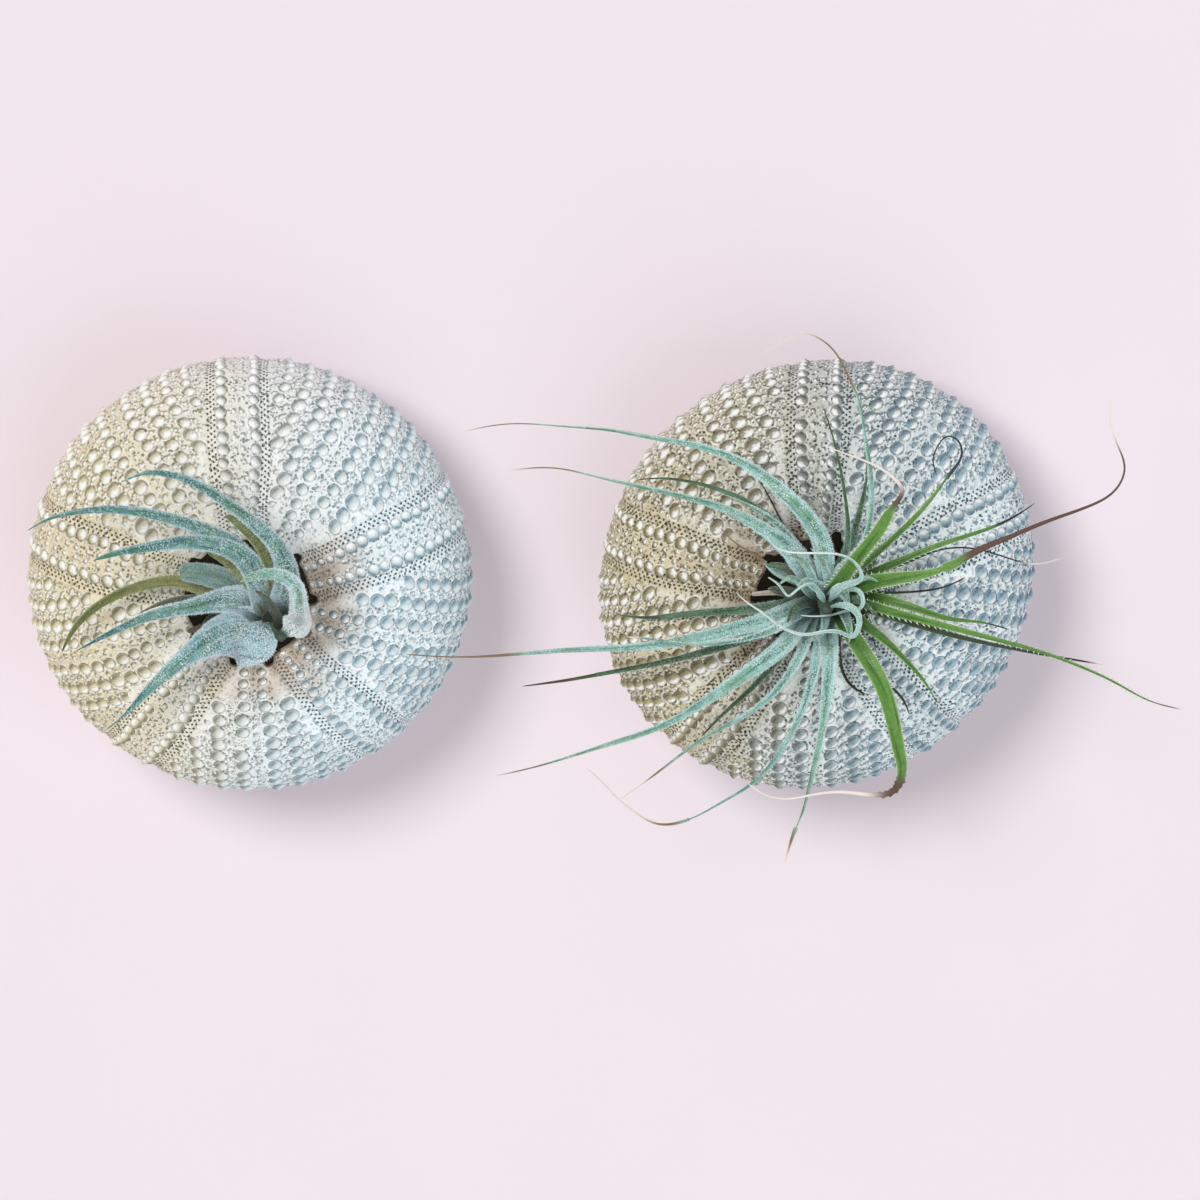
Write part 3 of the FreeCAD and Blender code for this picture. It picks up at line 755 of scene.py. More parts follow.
left_leaves = [
    Leaf(0, 0.8, 0.3, [(262, 622), (245, 623), (232, 624), (208, 627), (190, 632)], thick_share=0.7),
    Leaf(1, 0.7, 0.6, [(262, 612), (240, 602), (215, 598), (190, 597), (165, 602), (141, 613)]),
    Leaf(2, 0.9, 0.6, [(262, 608), (240, 597), (215, 588), (180, 580), (145, 586), (112, 600), (85, 620),
         (70, 640), (64, 652)], thick_share=1.2),
    Leaf(3.2, 1.0, 0.15, [(266, 604), (250, 590), (225, 578), (205, 574), (184, 573)], thick_share=2.4),
    Leaf(3.2, 1.7, 1.2, [(262, 632), (245, 630), (228, 633), (203, 647), (175, 668), (150, 690),
         (128, 713), (108, 730)], thick_share=2.2),
    Leaf(5.5, 0.9, 0.75, [(270, 598), (258, 568), (240, 546), (212, 531), (175, 520), (130, 512),
         (85, 512), (50, 521), (33, 531)], thick_share=1.2),
    Leaf(4.6, 0.98, 0.8, [(262, 606), (250, 600), (235, 598), (200, 605), (160, 615), (120, 631),
         (80, 650)], thick_share=1.3),
    Leaf(6.4, 1.0, 0.55, [(270, 596), (259, 572), (245, 556), (222, 546), (190, 542), (155, 546),
         (125, 552), (100, 561)], thick_share=1.2),
    Leaf(7.3, 1.05, 0.7, [(288, 596), (291, 575), (287, 555), (268, 530), (240, 508), (208, 488),
         (178, 477), (150, 476), (128, 484)], thick_share=1.3),
    Leaf(9, 0.45, 0.4, [(276, 606), (270, 598), (260, 590)], thick_share=1.2),
    Leaf(10, 0.9, 0.5, [(297, 626), (304, 605), (300, 586), (285, 576), (265, 576),
         (246, 583)], thick_share=1.4),
]

right_leaves = [
    Leaf(0.2, 0.22, 0.3, [(812, 572), (790, 540), (775, 515), (766, 497), (757, 480)], thick_share=0.7),
    Leaf(0.3, 0.32, 0.2, [(832, 615), (838, 640), (840, 665), (848, 683), (863, 694)], thick_share=0.8),
    Leaf(0.5, 0.27, 0.4, [(852, 592), (875, 593), (900, 593), (925, 591), (945, 586),
         (962, 577)], thick_share=0.8),
    Leaf(0, 1.0, 0.7, [(802, 598), (765, 606), (720, 611), (680, 615), (645, 617), (617, 613)]),
    Leaf(1, 0.63, 0.5, [(808, 616), (780, 655), (750, 688), (722, 712), (700, 735)]),
    Leaf(1, 0.63, 0.6, [(808, 570), (785, 535), (755, 507), (722, 491), (690, 483), (660, 480),
         (637, 481)]),
    Leaf(1, 0.45, 0.4, [(840, 618), (855, 643), (870, 665), (885, 683), (900, 697),
         (908, 713)], thick_share=0.9),
    Leaf(1, 0.54, 0.1, [(800, 590), (780, 591), (765, 592), (750, 594)], thick_share=0.7),
    Leaf(1, 0.18, 0.3, [(850, 581), (875, 572), (905, 561), (938, 550), (972, 550), (1003, 558),
         (1035, 563), (1058, 557)], thick_share=0.7),
    Leaf(2, 0.9, 0.8, [(848, 612), (865, 626), (882, 640), (902, 660), (920, 680), (935, 702)]),
    Leaf(2, 0.63, 0.6, [(820, 618), (812, 665), (798, 715), (779, 752), (752, 781), (718, 802),
         (685, 820), (656, 824), (633, 812), (612, 793), (598, 777), (587, 767)], blade_share=0.72),
    Leaf(2, 0.63, 0.5, [(803, 606), (765, 630), (720, 647), (670, 659), (620, 669), (570, 680),
         (522, 686)]),
    Leaf(2, 0.72, 0.5, [(803, 583), (785, 578), (768, 569), (757, 558), (745, 550), (732, 541),
         (720, 528)], blade_share=0.55),
    Leaf(2, 0.9, 0.8, [(838, 566), (850, 540), (858, 512), (863, 485), (863, 460)]),
    Leaf(3, 1.0, 0.7, [(810, 570), (788, 538), (765, 517), (745, 506), (722, 496)]),
    Leaf(3, 0.68, 0.8, [(812, 618), (798, 655), (772, 692), (735, 718), (703, 736), (678, 755),
         (650, 778), (620, 799)]),
    Leaf(3, 0.63, 0.5, [(850, 580), (880, 568), (925, 550), (970, 534), (1003, 520), (1030, 503)]),
    Leaf(3, 0.59, 0.5, [(852, 602), (900, 620), (950, 634), (1000, 645), (1050, 656), (1102, 665)]),
    Leaf(4, 1.08, 1.0, [(806, 612), (785, 640), (752, 669), (710, 697), (665, 722), (610, 743),
         (555, 761), (495, 774)]),
    Leaf(4, 0.41, 0.6, [(838, 568), (843, 545), (843, 510), (838, 470), (828, 430), (815, 397)]),
    Leaf(4, 1.08, 0.9, [(852, 595), (885, 600), (915, 610), (945, 619), (980, 622), (1005, 628)]),
    Leaf(5, 1.2, 1.2, [(806, 574), (790, 550), (765, 531), (735, 515), (695, 501), (650, 489), (600, 478),
         (555, 470), (510, 472)]),
    Leaf(5, 1.17, 1.1, [(802, 602), (775, 615), (740, 626), (695, 637), (645, 644), (590, 648),
         (530, 653), (470, 655), (408, 653)], lift_share=0.55),
    Leaf(5, 1.08, 0.75, [(826, 618), (828, 660), (823, 700), (816, 742), (808, 782), (800, 815),
         (793, 832), (784, 862)], blade_share=0.88),
    Leaf(5, 0.68, 0.75, [(852, 600), (890, 612), (940, 625), (990, 637), (1035, 650), (1075, 666),
         (1112, 683), (1145, 699), (1177, 707)]),
    Leaf(5, 0.81, 0.5, [(846, 575), (868, 557), (897, 530), (925, 500), (947, 473), (957, 458),
         (954, 442), (943, 437), (933, 446), (928, 462), (932, 476)], blade_share=0.66),
    Leaf(6.6, 1.08, 1.15, [(822, 568), (818, 545), (803, 518), (775, 488), (742, 464), (700, 449),
         (655, 441), (610, 432), (560, 427), (510, 426), (465, 434)]),
    Leaf(6, 0.54, 0.4, [(806, 608), (785, 622), (760, 633), (725, 640), (690, 642), (655, 639),
         (625, 637)]),
    Leaf(6, 0.9, 0.25, [(838, 616), (858, 650), (877, 683), (889, 717), (897, 750), (899, 773),
         (890, 789), (868, 792), (842, 789), (815, 791), (780, 797), (762, 793),
         (745, 782)], blade_share=0.56),
    Leaf(6, 1.35, 0.45, [(853, 586), (885, 579), (915, 574), (945, 565), (968, 553), (1000, 540),
         (1045, 521), (1085, 505), (1108, 490), (1117, 470), (1111, 447), (1104, 422),
         (1105, 398)], blade_share=0.33),
    Leaf(7.3, 0.63, 0.4, [(838, 568), (858, 545), (867, 510), (867, 475), (861, 440), (852, 400),
         (843, 380), (833, 360), (818, 344), (800, 337), (778, 345), (757, 357)], blade_share=0.62),
    Leaf(8.2, 1.0, 0.12, [(842, 572), (860, 550), (876, 530), (890, 506), (897, 493), (888, 480),
         (865, 466), (842, 457), (820, 448)], blade_share=0.55),
    Leaf(9.5, 0.25, 0.3, [(846, 589), (856, 593), (858, 602), (846, 609), (830, 614), (812, 616),
         (797, 615)], thick_share=0.7),
    Leaf(10.3, 0.25, 0.3, [(845, 584), (857, 577), (852, 565), (840, 557), (820, 554), (790, 553),
         (772, 547), (764, 536)], thick_share=0.7),
    Leaf(11.1, 0.25, 0.3, [(815, 590), (806, 584), (796, 589), (787, 596), (777, 587),
         (765, 577)], thick_share=0.7),
    Leaf(11.9, 0.25, 0.3, [(846, 606), (855, 620), (850, 634), (838, 631), (820, 630), (803, 633),
         (780, 627), (758, 612), (742, 601), (733, 592)], thick_share=0.7),
]

# Each leaf's look: its tones, how thick the scales are, where along it the blade dries to brown and where it
# dries to a pale end. Some differ in how long the teeth are, how slim the blade shows, how wide its clasping
# base is, how far it twists, how many scales stand off it, and how much wider its dry end is, in mm.
never = 2.0
Look = namedtuple(
    "Look", "tones scales brown_from pale_from teeth slim clasp twist fuzz dry",
    defaults=(never, never, 0, 0.56, 0.86, 0.45, 0, 0),
)
left_looks = [
    Look("shade", 0.3, 0.6, slim=0.9, clasp=0.9), Look("shade", 0.5, slim=0.9, clasp=1.1),
    Look("olive", 0.25, 0.95, slim=1.0, clasp=1.35, twist=0.3, fuzz=0.3),
    Look("stub", 0.5, slim=1.3, clasp=1.0, twist=0.2, fuzz=0.5),
    Look("frost", 1.0, slim=0.95, clasp=2.15, twist=0.3, fuzz=2.2),
    Look("teal", 0.8, slim=1.0, clasp=1.3, twist=0.3, fuzz=0.8),
    Look("teal", 0.7, slim=1.0, clasp=1.7, twist=0.3, fuzz=1.2),
    Look("teal", 0.85, slim=1.15, clasp=1.6, twist=0.3, fuzz=1.0),
    Look("teal", 1.0, slim=1.0, clasp=1.4, twist=0.3, fuzz=1.3),
    Look("shade", 0.5, slim=1.0, clasp=1.4, twist=0.2),
    Look("bud", 1.0, slim=1.2, clasp=1.45, twist=0.3, fuzz=1.6),
]
right_looks = [
    Look("dry", 0.1), Look("dry", 0.0), Look("dark", 0.1, 0.55), Look("moss", 0.35, fuzz=0.2),
    Look("moss", 0.4, 0.9, fuzz=0.2), Look("moss", 0.3, 0.9, fuzz=0.2), Look("dark", 0.1, 0.85),
    Look("papery", 0.2), Look("dark", 0.1, 0.5, 0.8), Look("green", 0.15, 0.93, teeth=0.25, fuzz=0.15),
    Look("silver", 0.75, 0.7, 0.76, fuzz=0.3), Look("moss", 0.5, 0.8, fuzz=0.2),
    Look("silver", 0.7, 0.52, slim=0.8, clasp=1.1),
    Look("moss", 0.6, 0.9, slim=0.62, clasp=1.0, fuzz=0.3),
    Look("silver", 0.9, slim=0.6, clasp=1.0, fuzz=0.3), Look("silver", 0.7, 0.78, 0.84, fuzz=0.3),
    Look("black_tipped", 0.15, 0.78, teeth=0.2, clasp=0.75, fuzz=0.12), Look("dark", 0.1, 0.85, 0.92),
    Look("silver", 0.7, 0.84, 0.93, fuzz=0.4), Look("moss", 0.3, 0.8, 0.9, fuzz=0.2),
    Look("black_tipped", 0.1, 0.86, teeth=0.25, clasp=0.75, fuzz=0.12),
    Look("silver", 0.8, 0.8, 0.92, clasp=0.95, fuzz=0.4), Look("silver", 0.7, 0.72, fuzz=0.4),
    Look("silver", 0.6, 0.86, 0.9, fuzz=0.4),
    Look("green", 0.1, 0.93, 0.96, teeth=0.35, clasp=0.7, fuzz=0.15),
    Look("black_tipped", 0.2, 0.62, teeth=0.2, clasp=0.8, fuzz=0.15),
    Look("silver", 0.8, 0.82, 0.93, clasp=0.95, fuzz=0.5), Look("silver", 1.0, never, 0.9, fuzz=0.2),
    Look("green", 0.1, 0.52, 0.6, teeth=0.6, slim=0.95, clasp=0.85, twist=0.3, fuzz=0.2, dry=0.35),
    Look("green", 0.1, 0.35, 0.84, teeth=0.25, slim=0.66, clasp=0.75, twist=0.3, fuzz=0.15, dry=0.55),
    Look("silver", 0.6, 0.64, 0.8, fuzz=0.3),
    Look("green", 0.1, 0.545, 0.61, teeth=1.0, slim=0.68, clasp=0.7, twist=0.3, fuzz=0.25, dry=0.3),
    *[Look("pale", 0.6, slim=0.75, clasp=1.4, twist=0.9)] * 4,
]
plants = [
    Plant(shells[0], np.array([0.152, -0.096]) * left_radius, 7.0, 1.5, 11, 0.5, (250.0, 600.5), 223.5,
          left_leaves, left_looks, 11.0, 6.0, 9.0),
    Plant(shells[1], np.array([0.063, 0.005]) * right_radius, 4.0, 1.4, 13, 1.2, (812.3, 593.0), 219.0,
          right_leaves, right_looks, -2.5, 6.0, 10.0),
]


def leaf_height(plant, leaf, x, y):
    """Height of a leaf's middle: it dips into the mouth near the stem, lies along the shell and fans out."""
    shell = plant.shell
    out = math.hypot(x, y)
    from_stem = math.hypot(x - plant.crown[0], y - plant.crown[1])
    edge = edge_share * shell.radius
    step = (shell.radius - edge) / 10
    slope = (upper_height(shell, edge) - upper_height(shell, edge - step)) / step
    surface = upper_height(shell, min(max(out, shell.mouth), edge)) + slope * max(out - edge, 0)
    past_stem, to_rim = max(from_stem - stem_radius, 0), max(shell.mouth - out, 0)
    way_out = past_stem / (past_stem + to_rim) if past_stem + to_rim > 0 else 1
    seat = surface + seat_gap - plant.base_depth * (1 - way_out) ** 1.5
    channel = channel_share * (leaf.width_share * leaf_width - thread_width)
    belly = (channel + leaf_thickness * leaf.thick_share) / 2
    fanned = leaf.tier * plant.pitch * (1 + plant.fan * from_stem / shell.radius)
    return seat + belly + fanned + leaf.lift_share * max(from_stem - shell.radius, 0)


def local_place(plant, leaf, mark):
    """Solves for the point of the leaf's tier that the view, which leans, shows at a mark."""
    shell = plant.shell
    view = math.radians(view_lean_deg)
    sight_axes = np.array([[1, 0, 0], [0, math.cos(view), -math.sin(view)]])
    seen = (placed(shell, np.eye(3)) - np.array(shell.centre)) @ sight_axes.T
    rim = upper_height(shell, shell.mouth)
    scale = shell.radius / plant.px_radius
    target = np.array([mark[0] - plant.mouth_px[0], plant.mouth_px[1] - mark[1]]) * scale
    z = rim
    for _ in range(12):
        x, y = np.linalg.solve(seen[:2].T, target - seen[2] * (z - rim))
        z = leaf_height(plant, leaf, x, y)
    return np.array([x, y, z])


def smooth_path(points, count):
    """Natural cubic spline by chord length through the points, then even steps of its arc length."""
    p = np.asarray(points, float)
    t = np.concatenate([[0], np.cumsum(np.linalg.norm(np.diff(p, axis=0), axis=1))])
    h, last = np.diff(t), len(p) - 1
    system, rate = np.eye(last + 1), np.zeros_like(p)
    k = np.arange(1, last)
    system[k, k - 1], system[k, k], system[k, k + 1] = h[:-1], 2 * (h[:-1] + h[1:]), h[1:]
    slopes = np.diff(p, axis=0) / h[:, None]
    rate[1:-1] = 6 * np.diff(slopes, axis=0)
    bend = np.linalg.solve(system, rate)
    fine = np.linspace(0, t[-1], 3000)
    k = np.clip(np.searchsorted(t, fine, "right") - 1, 0, last - 1)
    before, after, hk = (t[k + 1] - fine)[:, None], (fine - t[k])[:, None], h[k][:, None]
    curve = (bend[k] * before**3 + bend[k + 1] * after**3) / (6 * hk)
    curve += (p[k] / hk - bend[k] * hk / 6) * before + (p[k + 1] / hk - bend[k + 1] * hk / 6) * after
    arc = np.concatenate([[0], np.cumsum(np.linalg.norm(np.diff(curve, axis=0), axis=1))])
    at = np.linspace(0, arc[-1], count)
    return np.stack([np.interp(at, arc, curve[:, c]) for c in range(3)], -1), arc[-1]


def leaf_scales(grid, share, width, q, look, blade_end, bare_share, rng):
    """Spikes that stand off a blade: slim closed four-faced ones, each from a spot of the blade's grid
    outwards along its normal and forwards along the leaf.

    Silvery scales are scattered, thickest at the edges and the base. Teeth stand at even steps on both edges.
    """
    teeth = look.teeth > 0
    if teeth:
        length = np.linalg.norm(np.diff(grid.mean(1), axis=0), axis=1).sum()
        at = np.arange(0.08, blade_end - 0.02, tooth_pitch / length)
        row = np.tile((at * (len(share) - 1)).astype(int), 2)
        spot = np.repeat([0, len(q) // 2], len(at))
        count = len(row)
    else:
        count = int(scale_count * look.fuzz)
        chance = np.clip(width, 0, None) * (1.6 - share) ** 3 * (share > bare_share) * (width > 0.8)
        row = rng.choice(len(share) - 2, count, p=chance[:-2] / chance[:-2].sum()) + 1
        edge_bias = np.abs(q) ** 2 + 0.35
        spot = rng.choice(len(q), count, p=edge_bias / edge_bias.sum())
    here = grid[row, spot]
    beside = grid[row, (spot + 1) % len(q)]
    go = grid[row + 1, spot] - here
    go = go / np.maximum(np.linalg.norm(go, axis=1, keepdims=True), 1e-9)
    off = here - grid[row].mean(1)
    off = off - go * np.sum(off * go, axis=1, keepdims=True)
    off = off / np.maximum(np.linalg.norm(off, axis=1, keepdims=True), 1e-9)
    mix = rng.random((count, 1)) * (not teeth)
    foot = here * (1 - mix) + beside * mix
    wide = np.cross(go, off)
    tall, lean, swing, half = tooth_length, 0.5, 0.0, tooth_width / 2
    if not teeth:
        tall = scale_length * (0.5 + rng.random((count, 1)))
        lean = 0.2 + 0.8 * rng.random((count, 1))
        swing = 0.8 * (rng.random((count, 1)) - 0.5)
        half = scale_width / 2
    tip = foot + tall * (off + go * lean + wide * swing)
    low = foot - scale_root * off
    back = low - half * wide * 0.5
    corners = [low + half * wide, back + half * go, back - half * go, tip]
    number = np.arange(count)[:, None] * 4
    faces = np.concatenate([number + f for f in ((0, 1, 3), (1, 2, 3), (2, 0, 3), (0, 2, 1))])
    return np.stack(corners, 1).reshape(-1, 3), faces


def leaf_piece(plant, number, leaf, look, name, node):
    """Sweeps a crescent along the leaf's path.

    Across the leaf, q runs from -1 to 1. Both faces pass through the raised edges, and their middles
    sink by the channel's depth, less or more the thickness. The width swells from the clasping base, then
    falls by the taper's power of the way left, and never under the dry thread. The edges carry scales and
    teeth. A leaf is marked for painted shade where it is deep in the crown.
    """
    shell = plant.shell
    rng = np.random.default_rng(400 + number + 100 * shell.seed)
    places = [local_place(plant, leaf, mark) for mark in leaf.marks_px]
    toward = places[0][:2] - plant.crown
    toward = toward / np.linalg.norm(toward)
    reach = stem_radius + (stem_tip_radius - stem_radius) * leaf.tier / plant.tiers - leaf_thickness
    start = upper_height(shell, shell.mouth) + leaf_thickness - plant.base_depth + leaf.tier * plant.pitch
    path, length = smooth_path([[*(plant.crown + toward * reach), start], *places], leaf_rings)
    share = np.linspace(0, 1, leaf_rings)
    tangent = np.gradient(path, axis=0)
    tangent = tangent / np.linalg.norm(tangent, axis=1, keepdims=True)
    side = np.stack([-tangent[:, 1], tangent[:, 0], 0 * share], -1)
    side = side / np.maximum(np.linalg.norm(side, axis=1, keepdims=True), 1e-9)
    over = np.cross(tangent, side)

    full = leaf.width_share * leaf_width
    along = np.minimum(share / leaf.blade_share, 1)
    widen = base_width_share + (look.clasp - base_width_share) * smooth_step(along / clasp_end)
    widen = widen + (look.slim - look.clasp) * smooth_step((along - clasp_end) / slim_over)
    width = full * widen * (1 - along) ** leaf.taper
    thread = thread_width * (thread_start - thread_fall * share)
    if leaf.blade_share < 1:
        past = np.clip((share - leaf.blade_share * 0.97) / dry_taper, 0, None)
        thread = thread + neck_share * full * look.slim * np.exp(-past) * (past > 0)
        thread = thread + look.dry * (1 - smooth_step((share - leaf.blade_share) / (1 - leaf.blade_share)))
    width = np.maximum(width, np.minimum(thread, full * look.slim))
    width = width * np.sqrt(np.clip((1 - share) / tip_share, 0.05, 1))
    thick = np.minimum(leaf_thickness * leaf.thick_share, thinnest_share * width)
    depth = seen_channel_share * np.maximum(width - thread_width, 0)
    twist = look.twist * np.sin(share * 3.2 + number) * smooth_step(share / 0.3)
    side, over = (side * np.cos(twist)[:, None] + over * np.sin(twist)[:, None],
                  over * np.cos(twist)[:, None] - side * np.sin(twist)[:, None])
    sway = np.sin(share * length / sway_pitch + 1.7 * number) * smooth_step(share / 0.2)
    path = path + side * sway_width * sway[:, None]
    upper_q = np.cos(np.linspace(math.pi, 0, face_points))
    q = np.concatenate([upper_q, upper_q[-2:0:-1]])
    face = np.repeat([1.0, -1.0], [face_points, face_points - 2])
    middle = -1.5 * depth[:, None] + face * thick[:, None]
    lift = depth[:, None] / 2 * (1 + q * q) / 2 + middle * (1 - q * q) / 2
    rough = scale_roughness * look.scales * rng.standard_normal((leaf_rings, len(q))) * (width > 0.7)[:, None]
    saw = ((share[:, None] * length + 0.5 * tooth_pitch * (q > 0)) / tooth_pitch) % 1
    blade = ((width > 0.9) & (share > 0.06))[:, None]
    saw_tooth = tooth_length * look.teeth * np.clip(1.9 * saw - 0.9, 0, 1)
    tooth = np.where((np.abs(q) > 0.99) & blade, saw_tooth, 0)
    out = q * width[:, None] / 2 + np.sign(q) * (tooth + np.abs(q) ** 4 * np.abs(rough))
    lift = lift + rough * 0.6 + 0.25 * tooth
    points = path[:, None] + side[:, None] * out[..., None] + over[:, None] * lift[..., None]
    world_points = placed(shell, points.reshape(-1, 3))

    # Painted shade in the crown: darker near the stem's axis and under the crown's top.
    from_axis = np.hypot(points[..., 0] - plant.crown[0], points[..., 1] - plant.crown[1])
    stem_top = start + (plant.tiers - leaf.tier) * plant.pitch
    below_top = stem_top + plant.shade_top - points[..., 2]
    deep = 1 - smooth_step((from_axis - 2.0) / plant.shade_reach)
    deep = deep * smooth_step(below_top / plant.shade_depth)
    deep = np.maximum(deep, (1 - smooth_step((from_axis - 1.0) / 3.0)) * 0.6)
    spread = np.ones_like(q)
    share_at = share[:, None]
    marks = {
        "along": share_at * spread,
        "length": share_at * length * spread,
        "across": q * np.ones_like(share_at),
        "reach": out,
        "brown": smooth_step((share_at - look.brown_from) / brown_fade) * spread,
        "pale": smooth_step((share_at - look.pale_from) / pale_fade) * spread,
        "scales": look.scales * spread * (1 - 0.45 * smooth_step(share_at / 0.7)),
        "tooth": np.clip(tooth * 4 + 0.7 * (np.abs(q) > 0.97) * blade * (look.teeth > 0), 0, 1),
        "under": (face < 0) * np.ones_like(share_at),
        "fuzz": np.zeros_like(deep),
        "deep": deep,
    }
    # Seen along the leaf its rings run clockwise, so the faces are turned round to look outwards.
    faces = [f[:, ::-1] for f in tube_faces(leaf_rings, len(q))]
    if look.fuzz:
        grid = world_points.reshape(points.shape)
        blade_end = min(leaf.blade_share, look.brown_from)
        bare_share = 0.06 if look.tones in frosted else bare_length / length
        spikes, spike_faces = leaf_scales(grid, share, width, q, look, blade_end, bare_share, rng)
        faces.append(spike_faces + len(world_points))
        world_points = np.concatenate([world_points, spikes])
        extra = dict.fromkeys(marks, 0.0) | {"along": 0.3, "scales": 1.0, "fuzz": 1.0}
        marks = {k: np.concatenate([v.ravel(), np.full(len(spikes), extra[k])]) for k, v in marks.items()}
    piece = new_piece(name, world_points, faces, None, marks)
    settle(piece, leaf_skins[look.tones], f"{shell.name}_plant", node)


# Each leaf tone: its material slot, base, middle and far tones, a dark tone for ribs and painted shade, the
# scales' tone, and the brown of the dry tip and the pale of the dry end.
LeafTones = namedtuple("LeafTones", "slot base middle far rib scale brown pale")
leaf_tones = {name: LeafTones(slot, *codes.split()) for name, slot, codes in (
    ("shade", "silver_leaf", "#7C8474 #65705F #5E5B48 #3F4A3E #A9B5AE #6A5A45 #C9BFB0"),
    ("olive", "olive_leaf", "#A4A67A #92945C #6E7643 #50592B #CDD5B4 #3E3A28 #C9BFB0"),
    ("bud", "silver_leaf", "#ECF8FD #D2EEF6 #6CAC9A #3C6E5C #F8FDFF #6A5A45 #DDE4E0"),
    ("stub", "silver_leaf", "#93A8A0 #829C96 #728F8A #506B62 #C4D6D6 #6A5A45 #C8D8D4"),
    ("teal", "silver_leaf", "#B8D6E0 #6C9E96 #528A8A #244E44 #E6F7FF #5E5548 #D0E4E6"),
    ("frost", "silver_leaf", "#A8D4E0 #78B4BC #5E9C9C #2B5A4C #F0F7FF #5E5548 #D0E4E6"),
    ("silver", "silver_leaf", "#BEE9EA #9BD0C8 #9ABAA2 #3E6C58 #EEFEFF #8A7257 #EEDBD0"),
    ("moss", "silver_leaf", "#6E8C78 #4C6848 #475C3B #2A3C26 #B4CFC2 #54452F #D3C3B0"),
    ("green", "green_leaf", "#578638 #67993E #598B3E #2C5716 #CFE6B4 #5E4438 #F6E8E2"),
    ("dark", "dry_leaf", "#4C6A38 #36502A #2D3F25 #22301C #A3B598 #2E2624 #EDE4DC"),
    ("dry", "dry_leaf", "#6A5A48 #4B3C34 #2E2724 #2A2320 #8A7D70 #2E2724 #C9BFB0"),
    ("papery", "dry_leaf", "#B9A79B #CDB9AE #D9C9BE #8C786A #E8DDD6 #8A7257 #E8DDD6"),
    ("pale", "pale_leaf", "#A6D0C8 #CBE9E6 #F2F5F0 #86B4A8 #FAFFFF #C9B39F #F4EFE9"),
)}
leaf_tones["black_tipped"] = leaf_tones["green"]._replace(brown="#2B2A30")
leaf_green = "#5F9066"
crown_black = "#10140E"
tooth_white = "#E9F4E2"
spike_white = "#F4FAE8"
fleck_cell = 0.34
ribs_per_mm = 2.6
# How far from its root a leaf gets painted shade from its neighbours, in mm, where that isn't 5.
dark_ends = {"frost": 1.5, "bud": 1.5, "pale": 1.0, "teal": 8.5, "silver": 4.0}


def leaf_finish(name):
    """A leaf's skin: a base tone that changes outwards, fine ribs, silvery scales, dry tip and pale end,
    with painted shade down its channel, at its root and deep in the crown, and a painted highlight on its
    edges.
    """
    t = leaf_tones[name]
    waxy = name in ("green", "dark", "black_tipped")
    dark_end = dark_ends.get(name, 5.0)
    f = Finish(f"{name}_leaf_skin", roughness=0.42 if waxy else 0.62, specular_ior_level=0.4)
    along, across, scales = f.mark("along"), f.mark("across"), f.mark("scales")
    length, reach = f.mark("length"), f.mark("reach")
    from_middle = across.size()
    body = f.mix(length.step(6.0, 18.0), t.base, t.middle)
    body = f.mix(along.step(0.35, 0.9), body, t.far)
    # Painted shade down the channel in the leaf's middle.
    body = f.mix((1 - from_middle.step(0.1, 0.6)) * (0.15 if waxy else 0.32), body, t.rib)
    if t.slot == "silver_leaf":
        green_place = f.noise(4.5, 2.0).step(0.45, 0.62) * (1 - from_middle.step(0.35, 0.85))
        body = f.mix(green_place * 0.6, body, leaf_green)
    fine = f.noise(0.9, 4.0, 0.6)
    body = f.mix(fine.step(0.42, 0.7) * 0.4, body, t.rib)
    line = ((reach * ribs_per_mm).fraction() - 0.5).size().step(0.30, 0.5)
    body = f.mix(line * 0.3, body, t.rib)
    lanes = f.node("ShaderNodeCombineXYZ", X=length * 0.09, Y=reach * 1.7, Z=f.mark("under") * 5.0)
    streak = f.node("ShaderNodeTexNoise", Vector=lanes, Scale=1.0, Detail=3.0)
    body = f.mix(streak.step(0.5, 0.68) * 0.75, body, t.rib)
    body = f.mix((1 - streak.step(0.34, 0.48)) * 0.4 * scales, body, t.scale)
    # Paler towards the edges and along each rim: the scales, thicker there, and a painted highlight.
    edge = from_middle.step(0.7, 1.0)
    body = f.mix(edge * 0.25 + from_middle.step(0.93, 0.99) * (0.45 if waxy else 0.35), body, t.scale)
    fleck = 1 - f.cells(fleck_cell).step(0.3, 0.52)
    thick_place = f.noise(2.4, 3.0).step(0.35, 0.62) + edge * 0.35
    thick_place = (thick_place + (1 - length.step(7.0, 20.0)) * 0.55).limited()
    body = f.mix(fleck * scales * thick_place, body, t.scale)
    body = f.mix(f.mark("under") * 0.2, body, t.rib)
    # Painted shade at each leaf's root, where its neighbours crowd it, and far into the crown.
    base_shade = (1 - length.step(0.25 * dark_end, dark_end)) * 0.85
    body = f.mix(base_shade, body, f.mix(0.75, t.rib, crown_black))
    crown_shade = f.mark("deep") * (0.12 if name in frosted else 0.9)
    body = f.mix(crown_shade, body, f.mix(0.7, t.rib, crown_black))
    body = f.mix(f.mark("tooth") * 0.8, body, tooth_white)
    body = f.mix(f.mark("brown"), body, t.brown)
    body = f.mix(f.mark("pale"), body, t.pale)
    body = f.mix(f.mark("fuzz"), body, spike_white if waxy else t.scale)
    f.feed(Base_Color=body)
    f.bump(fleck * scales * 0.8 - line * 0.4 + fine * 0.5, 0.1, 0.8)
    return f.material


leaf_skins = {name: leaf_finish(name) for name in leaf_tones}
for plant in plants:
    for number, (leaf, look) in enumerate(zip(plant.leaves, plant.looks), start=1):
        node = f"{plant.shell.name}_leaf_{number:02d}"
        leaf_piece(plant, number, leaf, look, node + "_blade", node)

